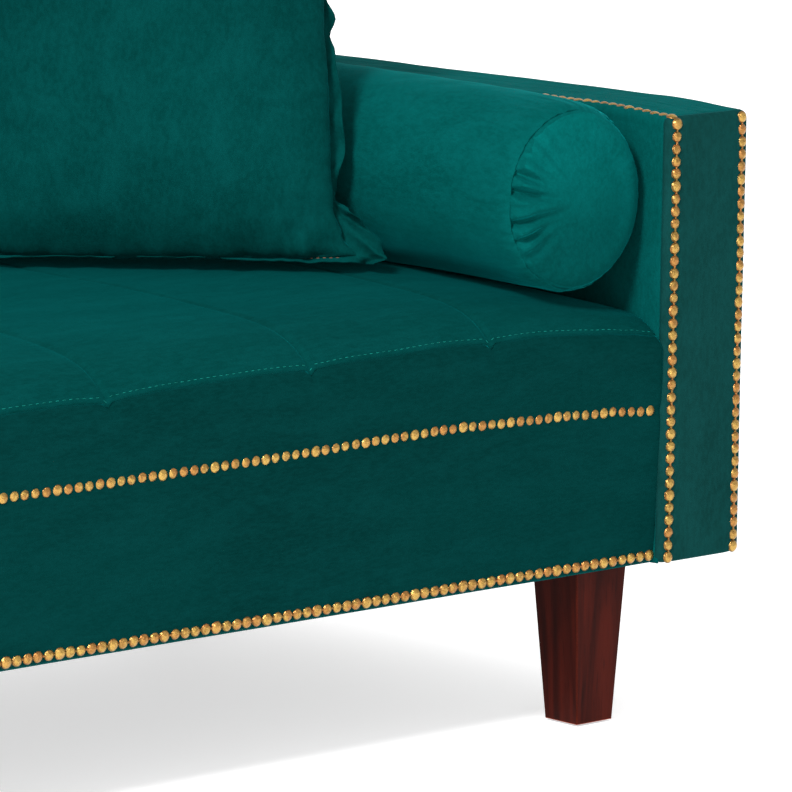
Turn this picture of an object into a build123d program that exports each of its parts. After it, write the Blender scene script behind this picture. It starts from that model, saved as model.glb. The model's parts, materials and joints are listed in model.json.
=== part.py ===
from build123d import *
import math
import os

# Track-arm sofa with nailhead trim, two bolsters and two throw pillows.
# Millimetres, +Z up, front towards -Y. The origin is on the floor under the middle of the sofa.

os.makedirs("parts", exist_ok=True)

# ---- overall sizes ----
seat_width = 1830.0  # between the two arms
overall_depth = 800.0  # tips of the nail heads to the back cover
arm_width = 110.0
arm_height = 616.0
back_height = 842.0
seat_height = 454.0  # crown of the tight seat
leg_height = 160.0  # floor to the underside of the upholstery

# ---- upholstery ----
cover_t = 2.0  # velvet with its backing
arm_reveal = 14.0  # the arm fronts stand this far ahead of the front band's hem
front_pad_t = 8.0  # foam on the face of the front rail at the hem
front_bulge = 8.0  # the front band leans out by this much at its fullest
seam_height = seat_height - 52.0  # top-stitched seam along the seat's front edge
bulge_low = seam_height - 48.0  # height where the fullest stretch starts
bulge_high = seam_height - 26.0  # height where it ends
roll_drop = 8.0  # middle of the turn from the band to the seam, below the seam
seat_roll = ((36.0, 24.0), (86.0, 12.0), (230.0, 4.0), (330.0, 0.0))  # behind the seam, below the crown
crown_drop = 37.0  # the seat is this much lower where it meets an arm
crown_run = 215.0  # distance over which the seat drops to the arm
arm_pad_inner = 15.0
arm_pad_top = 12.0
arm_pad_outer = 5.0
arm_pad_front = 8.0
arm_edge_radius = 4.0
back_depth = 194.0  # from the inside back, at the seat, to the rear
back_rake = 38.0  # the inside back leans this far rearwards up to its top
back_side_pad = 12.0
back_top_radius = 35.0
back_rear_radius = 14.0
back_seam_drop = 23.0  # rear seam of the back cover below the top
arm_seam_drop = 14.0  # seam between the outside and the top of an arm, below the top

# ---- timber frame ----
rail_t = 25.0
rail_top = seat_height - 105.0
side_rail_t = 30.0
side_rail_top = rail_top - 45.0
stretcher_w = 40.0
stretcher_h = 100.0
post_depth = 38.0
arm_top_rail_t = 25.0
panel_t = 3.0
back_frame_depth = 50.0
back_post_w = 40.0
back_frame_drop = 38.0  # top of the back's frame below the top of the back
back_top_rail_h = 40.0
tuck_rail_gap = 36.0  # the tuck rail stands this far above the seat's deck
tuck_rail_h = 40.0
back_panel_t = 3.8
block_length = 135.0
block_depth = 80.0
block_height = 60.0

# ---- springs, webbing and linings ----
wire_r = 1.8
spring_count = 9
spring_half_width = 22.0
spring_bar_pitch = 25.0
spring_seat_in = 12.0  # end bars of a spring in from the inner edge of the rails
clip_size = (16.0, 10.0, 6.0)
felt_t = 3.0
strap_w = 50.0
strap_t = 2.5
straps_per_side = 5
dust_cover_t = 1.0

# ---- legs ----
leg_top = 67.0
leg_foot = 48.0
leg_edge_r = 1.5
leg_inset_x = 65.0  # leg centre in from the arm's inner face
glide_r = 12.0
glide_t = 2.0
glide_pin_r = 1.5
glide_pin_length = 15.0
plate_size = 58.0
plate_t = 2.5
bolt_r = 4.0
bolt_length = 50.0
bolt_in_leg = 25.0
screw_r = 1.8
screw_head_r = 3.6
screw_head_t = 1.5
screw_length = 18.0
screw_inset = 8.0
centre_foot_r = 22.0

# ---- nailhead trim ----
nail_pitch = 12.5
nails_per_period = 5  # one driven nail, then four stamped heads
nail_r = 5.7
nail_rise = 3.0
shank_r = 0.8
shank_length = 16.0
stamped_r = 5.3
stamped_rise = 2.6
link_w = 3.0
link_t = 0.6
row_inset = 10.0  # trim rows in from the arm's edges
rail_row_ends = (8.75, 15.0)  # last nail of each rail row in from the arm
rail_rows = (leg_height + 8.5, seat_height - 131.0)  # heights of the two rows on the front band
arm_row_drop = 12.0  # top nail of an arm row below the arm's top
arm_row_bottom = 6.0  # lowest nail at least this far above the hem

# ---- bolster and pillow ----
bolster_r = 95.0
bolster_front_in = 19.0  # front disc behind the arm's front face
bolster_back_gap = 54.0  # rear disc ahead of the inside back
soft_gap = 0.5  # loose soft pieces stay this far from what they lie against
pillow_cover_t = 1.5
pillow_half = 250.0
pillow_sag = 60.0  # the sides draw in by this much between the corners
flange_t = 4.0
flange_bottom = 18.0
pillow_body_half = 190.0
pillow_thickness = 160.0
pillow_upright_rise = 86.0  # rise of its upright curve, a little over half the thickness
pillow_turn = 45.3  # degrees: the face turns this far from the front towards the middle
pillow_lean = 10.0  # degrees
pillow_tuck = 3.5  # lower outer corner tucked under the side of the bolster
pillow_corner_ahead = 390.0  # the same corner ahead of the inside back

# ---- places worked out from those sizes ----
half_seat = seat_width / 2
half_width = half_seat + arm_width
arm_front = -overall_depth / 2 + nail_rise
rear = overall_depth / 2
rear_skin = rear - cover_t
seat_front = arm_front + arm_reveal
rail_front = seat_front + cover_t + front_pad_t
rail_back = rail_front + rail_t
back_front_y = rear - back_depth
frame_bottom = leg_height + plate_t
panel_front = rear_skin - back_panel_t
back_frame_front = panel_front - back_frame_depth
rear_rail_front = back_frame_front - rail_t
wire_z = rail_top + clip_size[2] - wire_r
felt_z = rail_top + clip_size[2]
deck_z = felt_z + felt_t
frame_x0 = half_seat + cover_t + arm_pad_inner + panel_t
frame_x1 = half_width - cover_t - arm_pad_outer - panel_t
post_front = arm_front + cover_t + arm_pad_front
arm_frame_top = arm_height - cover_t - arm_pad_top
back_foam_rear = back_frame_front - strap_t
back_post_x1 = half_seat - cover_t - back_side_pad
back_post_x0 = back_post_x1 - back_post_w
back_frame_top = back_height - back_frame_drop
tuck_rail_low = deck_z + tuck_rail_gap
bolster_front = arm_front + bolster_front_in
bolster_length = back_front_y - bolster_back_gap - bolster_front


def board(x0, x1, y0, y1, z0, z1):
    """A squared board between two corners."""
    middle = Pos((x0 + x1) / 2, (y0 + y1) / 2, (z0 + z1) / 2)
    return middle * Box(x1 - x0, y1 - y0, z1 - z0)


def mirrored(shape):
    """The same piece on the other side of the sofa."""
    return mirror(shape, about=Plane.YZ)


def save(name, pieces):
    """Write one node: a solid, or a group of separate solids."""
    solids = pieces if isinstance(pieces, list) else [pieces]
    flat = [solid for piece in solids for solid in piece.solids()]
    export_step(flat[0] if len(flat) == 1 else Compound(children=flat), f"parts/{name}.step")


def save_pair(name, piece):
    """Write a piece of the right side, and its mirror image for the left side."""
    save(f"{name}_right", piece)
    pieces = piece if isinstance(piece, list) else [piece]
    save(f"{name}_left", [mirrored(each) for each in pieces])


def face_on(plane, edges):
    """A face on a plane from the edges of a closed outline."""
    return make_face([plane * edge for edge in edges])


def along_x(face_edges, half_length):
    """A solid along X from the edges of a closed outline in Y and Z."""
    return extrude(face_on(Plane.YZ, face_edges), amount=half_length, both=True)


# ---- frame under the seat ----
def front_rail():
    rail = board(-frame_x0, frame_x0, rail_front, rail_back, frame_bottom, rail_top)
    return rail - plate_screws()


def rear_rail():
    rail = board(-frame_x0, frame_x0, rear_rail_front, back_frame_front, frame_bottom, rail_top)
    return rail - plate_screws()


def side_rail():
    y0 = post_front + post_depth
    return board(frame_x0, frame_x0 + side_rail_t, y0, panel_front - post_depth, frame_bottom, side_rail_top)


def centre_stretcher():
    x = stretcher_w / 2
    rail = board(-x, x, rail_back, rear_rail_front, frame_bottom, frame_bottom + stretcher_h)
    return rail - bolt_bore(0, 0)


def leg_centres():
    """Centre of the front and the rear leg of the right side."""
    x = half_seat - leg_inset_x
    front_y = rail_front + leg_top / 2
    rear_y = back_frame_front - leg_top / 2
    return {"front": (x, front_y), "rear": (x, rear_y)}


def corner_centres():
    """Centres of all four corner legs."""
    return [(side * x, y) for x, y in leg_centres().values() for side in (-1, 1)]


def bolt_bore(x, y):
    """A hanger bolt, and the bore that takes it, from inside the leg to inside the frame."""
    z0 = leg_height - bolt_in_leg
    return Pos(x, y, z0 + bolt_length / 2) * Cylinder(bolt_r, bolt_length)


def leg_blocks():
    """A block glued behind the rail over each leg, bored for the leg's bolt."""
    x1 = frame_x0
    blocks = []
    for end, (x, y) in leg_centres().items():
        y0 = rail_back if end == "front" else rear_rail_front - block_depth
        block = board(x1 - block_length, x1, y0, y0 + block_depth, frame_bottom, frame_bottom + block_height)
        block -= [bolt_bore(x, y), *plate_screws()]
        blocks += [block, mirrored(block)]
    return blocks


# ---- legs ----
def leg(x, y):
    """A tapered square leg, bored for its bolt and for the pin of its glide."""
    foot = Pos(x, y, glide_t) * RectangleRounded(leg_foot, leg_foot, leg_edge_r)
    top = Pos(x, y, leg_height) * RectangleRounded(leg_top, leg_top, leg_edge_r)
    return loft([foot, top]) - bolt_bore(x, y) - glide(x, y)


def centre_foot():
    """A plain round foot under the middle of the stretcher."""
    height = frame_bottom - glide_t
    post = Pos(0, 0, glide_t + height / 2) * Cylinder(centre_foot_r, height)
    return post - bolt_bore(0, 0) - glide(0, 0)


def glide(x, y):
    disc = Pos(x, y, glide_t / 2) * Cylinder(glide_r, glide_t)
    pin = Pos(x, y, glide_t + glide_pin_length / 2) * Cylinder(glide_pin_r, glide_pin_length)
    return disc + pin


def screw_offsets():
    reach = plate_size / 2 - screw_inset
    return [(dx, dy) for dx in (-reach, reach) for dy in (-reach, reach)]


def screw(x, y):
    """A plate screw driven upwards, its head let into the top of the leg's plate."""
    shank = Pos(x, y, leg_height + screw_length / 2) * Cylinder(screw_r, screw_length)
    head = Pos(x, y, leg_height + screw_head_t / 2) * Cylinder(screw_head_r, screw_head_t)
    return shank + head


def plate_screws():
    return [screw(x + dx, y + dy) for x, y in corner_centres() for dx, dy in screw_offsets()]


def leg_plate(x, y):
    plate = Pos(x, y, leg_height + plate_t / 2) * Box(plate_size, plate_size, plate_t)
    return plate - [bolt_bore(x, y), *plate_screws()]


# ---- springs and webbing ----
def spring_span():
    """First and last bar of a seat spring."""
    return rail_back - spring_seat_in, rear_rail_front + spring_seat_in


def seat_spring():
    """One zigzag spring: straight bars joined by round turns."""
    first, last = spring_span()
    gaps = 2 * round((last - first) / spring_bar_pitch / 2)
    step = (last - first) / gaps
    straight = spring_half_width - step / 2
    edges = []
    for i in range(gaps + 1):
        y = first + i * step
        side = 1 if i % 2 == 0 else -1
        edges.append(Line((-side * straight, y, wire_z), (side * straight, y, wire_z)))
        if i < gaps:
            middle = (side * (straight + step / 2), y + step / 2, wire_z)
            edges.append(ThreePointArc((side * straight, y, wire_z), middle, (side * straight, y + step, wire_z)))
    start = Plane(origin=(-straight, first, wire_z), z_dir=(1, 0, 0))
    return sweep(start * Circle(wire_r), path=Wire(edges))


def spring_places():
    step = seat_width / spring_count
    return [(i - (spring_count - 1) / 2) * step for i in range(spring_count)]


def spring_clip(x, y):
    """A saddle on top of a rail that holds an end bar."""
    length, width, height = clip_size
    saddle = Pos(x, y, rail_top + height / 2) * Box(length, width, height)
    bar = Pos(x, y, wire_z) * Rot(0, 90, 0) * Cylinder(wire_r, length * 2)
    slot = board(x - length, x + length, y - wire_r, y + wire_r, wire_z, rail_top + height)
    return saddle - bar - slot


def felt():
    return board(-half_seat, half_seat, rail_front, back_foam_rear, felt_z, deck_z)


def back_webbing():
    """Upright elastic straps across the front of the back frame."""
    y0, y1 = back_foam_rear, back_frame_front
    run = back_post_x0 - back_post_w / 2
    straps = []
    for i in range(straps_per_side):
        x = back_post_w / 2 + (i + 0.5) * run / straps_per_side
        strap = board(x - strap_w / 2, x + strap_w / 2, y0, y1, tuck_rail_low, back_frame_top)
        straps += [strap, mirrored(strap)]
    return straps


def dust_cover():
    """Thin cloth under the frame, cut away round the legs."""
    x = half_width - cover_t - arm_pad_outer
    cloth = board(-x, x, rail_front, rear_skin, frame_bottom - dust_cover_t, frame_bottom)
    room = plate_size + 2
    cut_outs = [Pos(x, y, frame_bottom) * Box(room, room, room) for x, y in corner_centres()]
    return cloth - [*cut_outs, Pos(0, 0, frame_bottom) * Cylinder(centre_foot_r + 1, room)]


# ---- seat and front band ----
def front_outline(shift):
    """Face of the front band: leans out, then rolls back to the seam."""
    y = seat_front + shift
    full = y - front_bulge
    seam_y = rail_front + shift
    roll = (y - front_bulge * 0.2, seam_height - roll_drop)
    return [
        Line((y, leg_height), (full, bulge_low)),
        Line((full, bulge_low), (full, bulge_high)),
        ThreePointArc((full, bulge_high), roll, (seam_y, seam_height)),
        Line((seam_y, seam_height), (seam_y, leg_height)),
        Line((seam_y, leg_height), (y, leg_height)),
    ]


def front_block(shift):
    block = along_x(front_outline(shift), half_seat)
    behind = board(-half_width, half_width, rail_front, rail_back, leg_height, seam_height + 1)
    return block - behind


def front_band():
    return front_block(0) - front_block(cover_t)


def front_pad():
    below = board(-half_width, half_width, arm_front, rail_front, 0, frame_bottom)
    return front_block(cover_t) - below


def seat_outline(shift):
    """Side view of the seat: up from the seam, over the front roll, back to the inside back."""
    y = rail_front + shift
    top = seat_height - shift
    start = (y, seam_height - shift)
    points = [start] + [(y + behind, top - below) for behind, below in seat_roll]
    over = Spline(points, tangents=[(0.55, 1), (1, 0)])
    return [
        over,
        Line(points[-1], (back_front_y, top)),
        Line((back_front_y, top), (back_front_y, deck_z)),
        Line((back_front_y, deck_z), (y, deck_z)),
        Line((y, deck_z), start),
    ]


def crown_arc(shift):
    """The arc over which the seat drops to the arm: its centre and radius in X and Z."""
    radius = (crown_run**2 + crown_drop**2) / (2 * crown_drop)
    return half_seat - crown_run, seat_height - radius, radius - shift


def crown_outline(shift):
    """Front view of the seat: flat in the middle, rounded down to both arms."""
    x, z, radius = crown_arc(shift)
    side_z = z + math.sqrt(radius**2 - crown_run**2)
    bend = math.asin(crown_run / radius) / 2
    middle = (x + radius * math.sin(bend), z + radius * math.cos(bend))
    right = ThreePointArc((x, z + radius), middle, (half_seat, side_z))
    left = ThreePointArc((-x, z + radius), (-middle[0], middle[1]), (-half_seat, side_z))
    base = [
        Line((half_seat, side_z), (half_seat, deck_z)),
        Line((half_seat, deck_z), (-half_seat, deck_z)),
        Line((-half_seat, deck_z), (-half_seat, side_z)),
    ]
    return [Line((-x, z + radius), (x, z + radius)), right, *base, left]


def seat_block(shift):
    body = along_x(seat_outline(shift), half_seat)
    crown = extrude(face_on(Plane.XZ, crown_outline(shift)), amount=overall_depth / 2, both=True)
    return body & crown


def seat_foam():
    return seat_block(cover_t)


def seat_cover():
    return seat_block(0) - seat_block(cover_t)


# ---- arms ----
def arm_block(inset, y0, y1):
    """The whole arm between two depths, its skin taken off by the inset."""
    width = arm_width - 2 * inset
    height = arm_height - inset - leg_height
    centre = Pos(half_seat + arm_width / 2, 0, leg_height + height / 2)
    block = centre * board(-width / 2, width / 2, y0, y1, -height / 2, height / 2)
    top = block.faces().sort_by(Axis.Z)[-1]
    long_edges = top.edges().filter_by(Axis.Y)
    return fillet(long_edges, arm_edge_radius - inset * 0.5)


def under_seat():
    """Room beside the front rail, where the inside of the arm has no padding."""
    return board(half_seat - 1, frame_x0, rail_front, rear + 1, 0, deck_z)


def arm_skin():
    skin = arm_block(0, arm_front + cover_t, rear_skin) - arm_block(cover_t, arm_front, rear)
    return skin - under_seat()


def outer_side():
    """Room of the outside cover, below its seam with the top of the arm."""
    x = half_width - cover_t
    return board(x, half_width + 1, arm_front, rear, 0, arm_height - arm_seam_drop)


def arm_inside_cover():
    return arm_skin() - outer_side() - back_panel()


def arm_outside_cover():
    return arm_skin() & outer_side()


def arm_front_cover():
    return arm_block(0, arm_front, arm_front + cover_t)


def arm_frame_room():
    x0 = frame_x0 - panel_t
    return board(x0, frame_x1 + panel_t, post_front, rear + 1, 0, arm_frame_top)


def arm_pad():
    pad = arm_block(cover_t, arm_front + cover_t, rear_skin) - arm_frame_room() - under_seat()
    return pad - back_panel()


def arm_front_post():
    top = arm_frame_top - arm_top_rail_t
    return board(frame_x0, frame_x1, post_front, post_front + post_depth, frame_bottom, top)


def arm_rear_post():
    top = arm_frame_top - arm_top_rail_t
    return board(frame_x0, frame_x1, panel_front - post_depth, panel_front, frame_bottom, top)


def arm_top_rail():
    return board(frame_x0, frame_x1, post_front, panel_front, arm_frame_top - arm_top_rail_t, arm_frame_top)


def arm_inner_panel():
    return board(frame_x0 - panel_t, frame_x0, post_front, panel_front, deck_z, arm_frame_top)


def arm_outer_panels():
    panel = board(frame_x1, frame_x1 + panel_t, post_front, panel_front, frame_bottom, arm_frame_top)
    return [panel, mirrored(panel)]


# ---- back ----
def back_block(inset):
    """The whole back with its skin taken off by the inset."""
    y0 = back_front_y + inset
    y1 = rear - inset
    top = back_height - inset
    low_front = (y0, seat_height)
    high_front = (y0 + back_rake, top)
    outline = [
        Line((y0, deck_z), low_front),
        Line(low_front, high_front),
        Line(high_front, (y1, top)),
        Line((y1, top), (y1, deck_z)),
        Line((y1, deck_z), (y0, deck_z)),
    ]
    block = along_x(outline, half_seat - inset)
    upper = block.edges().filter_by(Axis.X).sort_by(Axis.Z)[-2:].sort_by(Axis.Y)
    block = fillet([upper[0]], back_top_radius - inset)
    corner = block.edges().filter_by(Axis.X).sort_by(Axis.Y)[-2:].sort_by(Axis.Z)[-1]
    return fillet([corner], back_rear_radius - inset)


def back_frame_room():
    x = back_post_x1
    return board(-x, x, back_foam_rear, rear + 1, 0, back_frame_top)


def back_foam():
    return back_block(cover_t) - back_frame_room() - rear_band() - back_panel()


def rear_band():
    """Room behind the padding, below the rear seam."""
    z = back_height - back_seam_drop
    return board(-half_width, half_width, rear_skin, rear + 1, 0, z)


def back_cover():
    return back_block(0) - back_block(cover_t) - rear_band() - back_panel()


def back_post():
    return board(back_post_x0, back_post_x1, back_frame_front, panel_front, frame_bottom, back_frame_top)


def back_centre_post():
    x = back_post_w / 2
    low = tuck_rail_low + tuck_rail_h
    return board(-x, x, back_frame_front, panel_front, low, back_frame_top - back_top_rail_h)


def back_top_rail():
    z0 = back_frame_top - back_top_rail_h
    return board(-back_post_x0, back_post_x0, back_frame_front, panel_front, z0, back_frame_top)


def tuck_rail():
    z1 = tuck_rail_low + tuck_rail_h
    return board(-back_post_x0, back_post_x0, back_frame_front, panel_front, tuck_rail_low, z1)


def back_panel():
    x = frame_x1 + panel_t
    low = board(-x, x, panel_front, rear_skin, frame_bottom, arm_frame_top)
    return low + board(-back_post_x1, back_post_x1, panel_front, rear_skin, arm_frame_top, back_frame_top)


def outside_back_cover():
    low = board(-half_width, half_width, rear_skin, rear, leg_height, arm_height)
    high = board(-half_seat, half_seat, rear_skin, rear, arm_height, back_height - back_seam_drop)
    return low + high


# ---- nailhead trim ----
def dome(radius, rise):
    """A low round head standing on Z = 0."""
    ball = (radius**2 + rise**2) / (2 * rise)
    sphere = Pos(0, 0, rise - ball) * Sphere(ball)
    return sphere & Pos(0, 0, rise) * Box(radius * 3, radius * 3, 2 * rise)


def driven_nail():
    shank = Pos(0, 0, -shank_length / 2) * Cylinder(shank_r, shank_length)
    return dome(nail_r, nail_rise) + shank


def stamped_length(heads):
    """A strip of stamped heads between two driven nails, along X."""
    x0 = nail_r
    x1 = (heads + 1) * nail_pitch - nail_r
    strip = board(x0, x1, -link_w / 2, link_w / 2, 0, link_t)
    head = dome(stamped_r, stamped_rise)
    return strip + [Pos(i * nail_pitch, 0, 0) * head for i in range(1, heads + 1)]


full_strip = stamped_length(nails_per_period - 1)
nail = driven_nail()


def trim_row(start, direction, normal, count):
    """Nails and strips of one row of that many heads: its strips, then its nails."""
    strips = []
    nails = []
    for i in range(0, count, nails_per_period):
        origin = Vector(*start) + Vector(*direction) * (i * nail_pitch)
        place = Plane(origin=origin, x_dir=direction, z_dir=normal).location
        nails.append(place * nail)
        left = count - 1 - i
        if left >= nails_per_period:
            strips.append(place * full_strip)
        elif left > 0:
            nails.append(place * Pos(left * nail_pitch, 0, 0) * nail)
            if left > 1:
                strips.append(place * stamped_length(left - 1))
    return strips, nails


def band_y(z):
    """Face of the front band at a height below its bulge."""
    return seat_front - front_bulge * (z - leg_height) / (bulge_low - leg_height)


def rail_trim():
    """Both rows along the front band, from the right end to the left."""
    lean = math.atan2(front_bulge, bulge_low - leg_height)
    normal = (0, -math.cos(lean), -math.sin(lean))
    rows = []
    for z, end in zip(rail_rows, rail_row_ends):
        count = int(2 * (half_seat - end) / nail_pitch + 0.001) + 1
        first = (count - 1) * nail_pitch / 2
        rows.append(trim_row((first, band_y(z), z), (-1, 0, 0), normal, count))
    return [s for row in rows for s in row[0]], [n for row in rows for n in row[1]]


def arm_trim():
    """Two upright rows on the arm's front and one along the top of its inner edge."""
    top = arm_height - arm_row_drop
    rise = top - leg_height - arm_row_bottom
    count = int(rise / nail_pitch / nails_per_period + 0.001) * nails_per_period + 1
    low = top - (count - 1) * nail_pitch
    inner = half_seat + row_inset
    outer = half_width - row_inset
    rows = [trim_row((x, arm_front, low), (0, 0, 1), (0, -1, 0), count) for x in (inner, outer)]
    run = rear - arm_front - 2 * row_inset
    top_count = int(run / nail_pitch / nails_per_period + 0.001) * nails_per_period + 1
    rows.append(trim_row((inner, arm_front + row_inset, arm_height), (0, 1, 0), (0, 0, 1), top_count))
    return [s for row in rows for s in row[0]], [n for row in rows for n in row[1]]


# ---- loose soft pieces ----
def bolster_place():
    """Middle of the bolster: it lies on the seat's crown against the arm."""
    x, z, radius = crown_arc(0)
    own_x = half_seat - soft_gap - bolster_r
    own_z = z + math.sqrt((radius + bolster_r + soft_gap) ** 2 - (own_x - x) ** 2)
    own_y = bolster_front + bolster_length / 2
    return Pos(own_x, own_y, own_z) * Rot(90, 0, 0)


def bolster_core():
    inner = bolster_r - cover_t
    return bolster_place() * Cylinder(inner, bolster_length - 2 * cover_t)


def bolster_cover():
    return bolster_place() * Cylinder(bolster_r, bolster_length) - bolster_core()


def pillow_place():
    """Standing on its lower corners, turned towards the room and leaning back."""
    turn = math.radians(pillow_turn)
    lean = math.radians(pillow_lean)
    across = Vector(math.cos(turn), -math.sin(turn), 0)
    facing = Vector(-math.sin(turn) * math.cos(lean), -math.cos(turn) * math.cos(lean), math.sin(lean))
    upright = facing.cross(across)
    corner_x = half_seat - soft_gap - 2 * bolster_r + pillow_tuck
    floor_z = seat_height + soft_gap + flange_t / 2 * math.sin(lean)
    corner = Vector(corner_x, back_front_y - pillow_corner_ahead, floor_z)
    centre = corner - across * pillow_half + upright * pillow_half
    return Plane(origin=centre, x_dir=across, z_dir=facing).location


def lens(low, high, rise):
    """A flat-edged lens from low to high along one direction."""
    middle = (low + high) / 2
    up = ThreePointArc((low, 0), (middle, rise), (high, 0))
    down = ThreePointArc((low, 0), (middle, -rise), (high, 0))
    return [up, down]


def pillow_body(inset):
    """Stuffed middle of the pillow, in its own plane: X across, Y up, Z towards the room."""
    half = pillow_body_half - inset
    low = -(pillow_half - flange_bottom) + inset
    rise = pillow_thickness / 2 - inset
    reach = pillow_half
    across = extrude(face_on(Plane.XZ, lens(-half, half, rise)), amount=reach, both=True)
    upright = extrude(face_on(Plane.YZ, lens(low, half, pillow_upright_rise - inset)), amount=reach, both=True)
    return across & upright


def pillow_flange():
    """Flat rim of two layers, its sides and top drawn in between the corners."""
    h = pillow_half
    drawn = h - pillow_sag
    rim = [
        Line((-h, -h), (h, -h)),
        ThreePointArc((h, -h), (drawn, 0), (h, h)),
        ThreePointArc((h, h), (0, drawn), (-h, h)),
        ThreePointArc((-h, h), (-drawn, 0), (-h, -h)),
    ]
    return extrude(make_face(rim), amount=flange_t / 2, both=True)


def pillow_insert():
    return pillow_place() * pillow_body(pillow_cover_t)


def pillow_cover():
    whole = pillow_body(0) + pillow_flange()
    return pillow_place() * (whole - pillow_body(pillow_cover_t))


# ---- write every node ----
def write_frame():
    save("front_rail", front_rail())
    save("rear_rail", rear_rail())
    save_pair("side_rail", side_rail())
    save("centre_stretcher", centre_stretcher())
    save("leg_blocks", leg_blocks())
    save_pair("arm_front_post", arm_front_post())
    save_pair("arm_rear_post", arm_rear_post())
    save_pair("arm_top_rail", arm_top_rail())
    save_pair("arm_inner_panel", arm_inner_panel())
    save("arm_outer_panels", arm_outer_panels())
    save_pair("back_post", back_post())
    save("back_centre_post", back_centre_post())
    save("back_top_rail", back_top_rail())
    save("tuck_rail", tuck_rail())
    save("back_panel", back_panel())


def write_legs():
    centres = corner_centres()
    for end, (x, y) in leg_centres().items():
        save_pair(f"leg_{end}", leg(x, y))
    save("centre_foot", centre_foot())
    save("leg_glides", [glide(x, y) for x, y in [*centres, (0, 0)]])
    save("leg_plates", [leg_plate(x, y) for x, y in centres])
    save("leg_bolts", [bolt_bore(x, y) for x, y in [*centres, (0, 0)]])
    save("plate_screws", plate_screws())


def write_suspension():
    spring = seat_spring()
    places = spring_places()
    save("seat_springs", [Pos(x, 0, 0) * spring for x in places])
    save("spring_clips", [spring_clip(x, y) for x in places for y in spring_span()])
    save("seat_felt", felt())
    save("back_webbing", back_webbing())
    save("dust_cover", dust_cover())


def write_upholstery():
    save("front_pad", front_pad())
    save("front_band", front_band())
    save("seat_foam", seat_foam())
    save("seat_cover", seat_cover())
    save_pair("arm_pad", arm_pad())
    save_pair("arm_inside_cover", arm_inside_cover())
    save_pair("arm_front_cover", arm_front_cover())
    save_pair("arm_outside_cover", arm_outside_cover())
    save("back_foam", back_foam())
    save("back_cover", back_cover())
    save("outside_back_cover", outside_back_cover())


def write_trim():
    rail_strips, rail_nails = rail_trim()
    arm_strips, arm_nails = arm_trim()
    strips = rail_strips + arm_strips + [mirrored(strip) for strip in arm_strips]
    nails = rail_nails + arm_nails + [mirrored(each) for each in arm_nails]
    save("trim_strips", strips)
    save("trim_nails", nails)


def write_loose_pieces():
    save_pair("bolster_core", bolster_core())
    save_pair("bolster_cover", bolster_cover())
    save_pair("pillow_insert", pillow_insert())
    save_pair("pillow_cover", pillow_cover())


write_frame()
write_legs()
write_suspension()
write_upholstery()
write_trim()
write_loose_pieces()
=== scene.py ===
import json
import math
import random

import bmesh
import bpy
from bpy.props import FloatProperty, FloatVectorProperty, IntProperty, PointerProperty
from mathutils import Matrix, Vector, noise


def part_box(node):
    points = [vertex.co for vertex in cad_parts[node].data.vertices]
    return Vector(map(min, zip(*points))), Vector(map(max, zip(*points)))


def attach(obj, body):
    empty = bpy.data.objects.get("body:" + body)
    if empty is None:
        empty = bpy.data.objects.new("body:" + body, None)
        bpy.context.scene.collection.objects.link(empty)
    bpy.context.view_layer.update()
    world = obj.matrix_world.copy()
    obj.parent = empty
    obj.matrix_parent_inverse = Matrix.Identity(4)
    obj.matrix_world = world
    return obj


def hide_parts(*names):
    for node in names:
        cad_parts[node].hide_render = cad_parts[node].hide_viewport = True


bl_info = {
    "name": "Velvet sofa with nailhead trim",
    "version": (1, 0, 0),
    "blender": (4, 5, 0),
    "location": "3D View > Sidebar > Sofa",
    "description": "Upholsters the framed sofa: velvet covers, trim, bolsters, pillows and finishes",
    "category": "Object",
}

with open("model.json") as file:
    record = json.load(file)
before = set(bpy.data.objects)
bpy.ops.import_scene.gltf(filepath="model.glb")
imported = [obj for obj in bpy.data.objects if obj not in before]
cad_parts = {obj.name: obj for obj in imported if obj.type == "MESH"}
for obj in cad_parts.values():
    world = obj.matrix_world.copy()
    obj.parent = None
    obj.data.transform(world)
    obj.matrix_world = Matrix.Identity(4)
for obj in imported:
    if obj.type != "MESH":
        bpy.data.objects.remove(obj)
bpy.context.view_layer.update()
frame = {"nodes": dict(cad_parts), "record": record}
MM = 0.001
BODY = "sofa"
SIDES = ((1, "right"), (-1, "left"))

# Places read from the frame, in metres.
SEAT_LOW, SEAT_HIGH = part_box("seat_cover")
BAND_LOW, BAND_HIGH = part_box("front_band")
ARM_LOW, ARM_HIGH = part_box("arm_inside_cover_right")
PANEL_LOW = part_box("arm_front_cover_right")[0]
BACK_LOW, BACK_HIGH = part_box("back_cover")
OUTSIDE_LOW, OUTSIDE_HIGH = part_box("outside_back_cover")
HALF_SEAT = SEAT_HIGH.x
HEM = BAND_LOW.z
SEAM_Y = SEAT_LOW.y


# ---------------------------------------------------------------- sizes and colours
class SofaClothSettings(bpy.types.PropertyGroup):
    cloth_t: FloatProperty(name="Cloth", description="Thickness of the velvet", default=0.002, unit="LENGTH")
    seam_depth: FloatProperty(
        name="Seam depth", description="How deep a sewn seam sinks", default=0.0052, unit="LENGTH"
    )
    seam_width: FloatProperty(
        name="Seam width", description="Half width of a sewn seam's valley", default=0.0036, unit="LENGTH"
    )
    velvet: FloatVectorProperty(
        name="Velvet", description="Colour of the pile", subtype="COLOR", default=(0.0002, 0.062, 0.057)
    )
    thread: FloatVectorProperty(
        name="Thread", description="Colour of the topstitching", subtype="COLOR",
        default=(0.004, 0.150, 0.125),
    )


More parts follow.
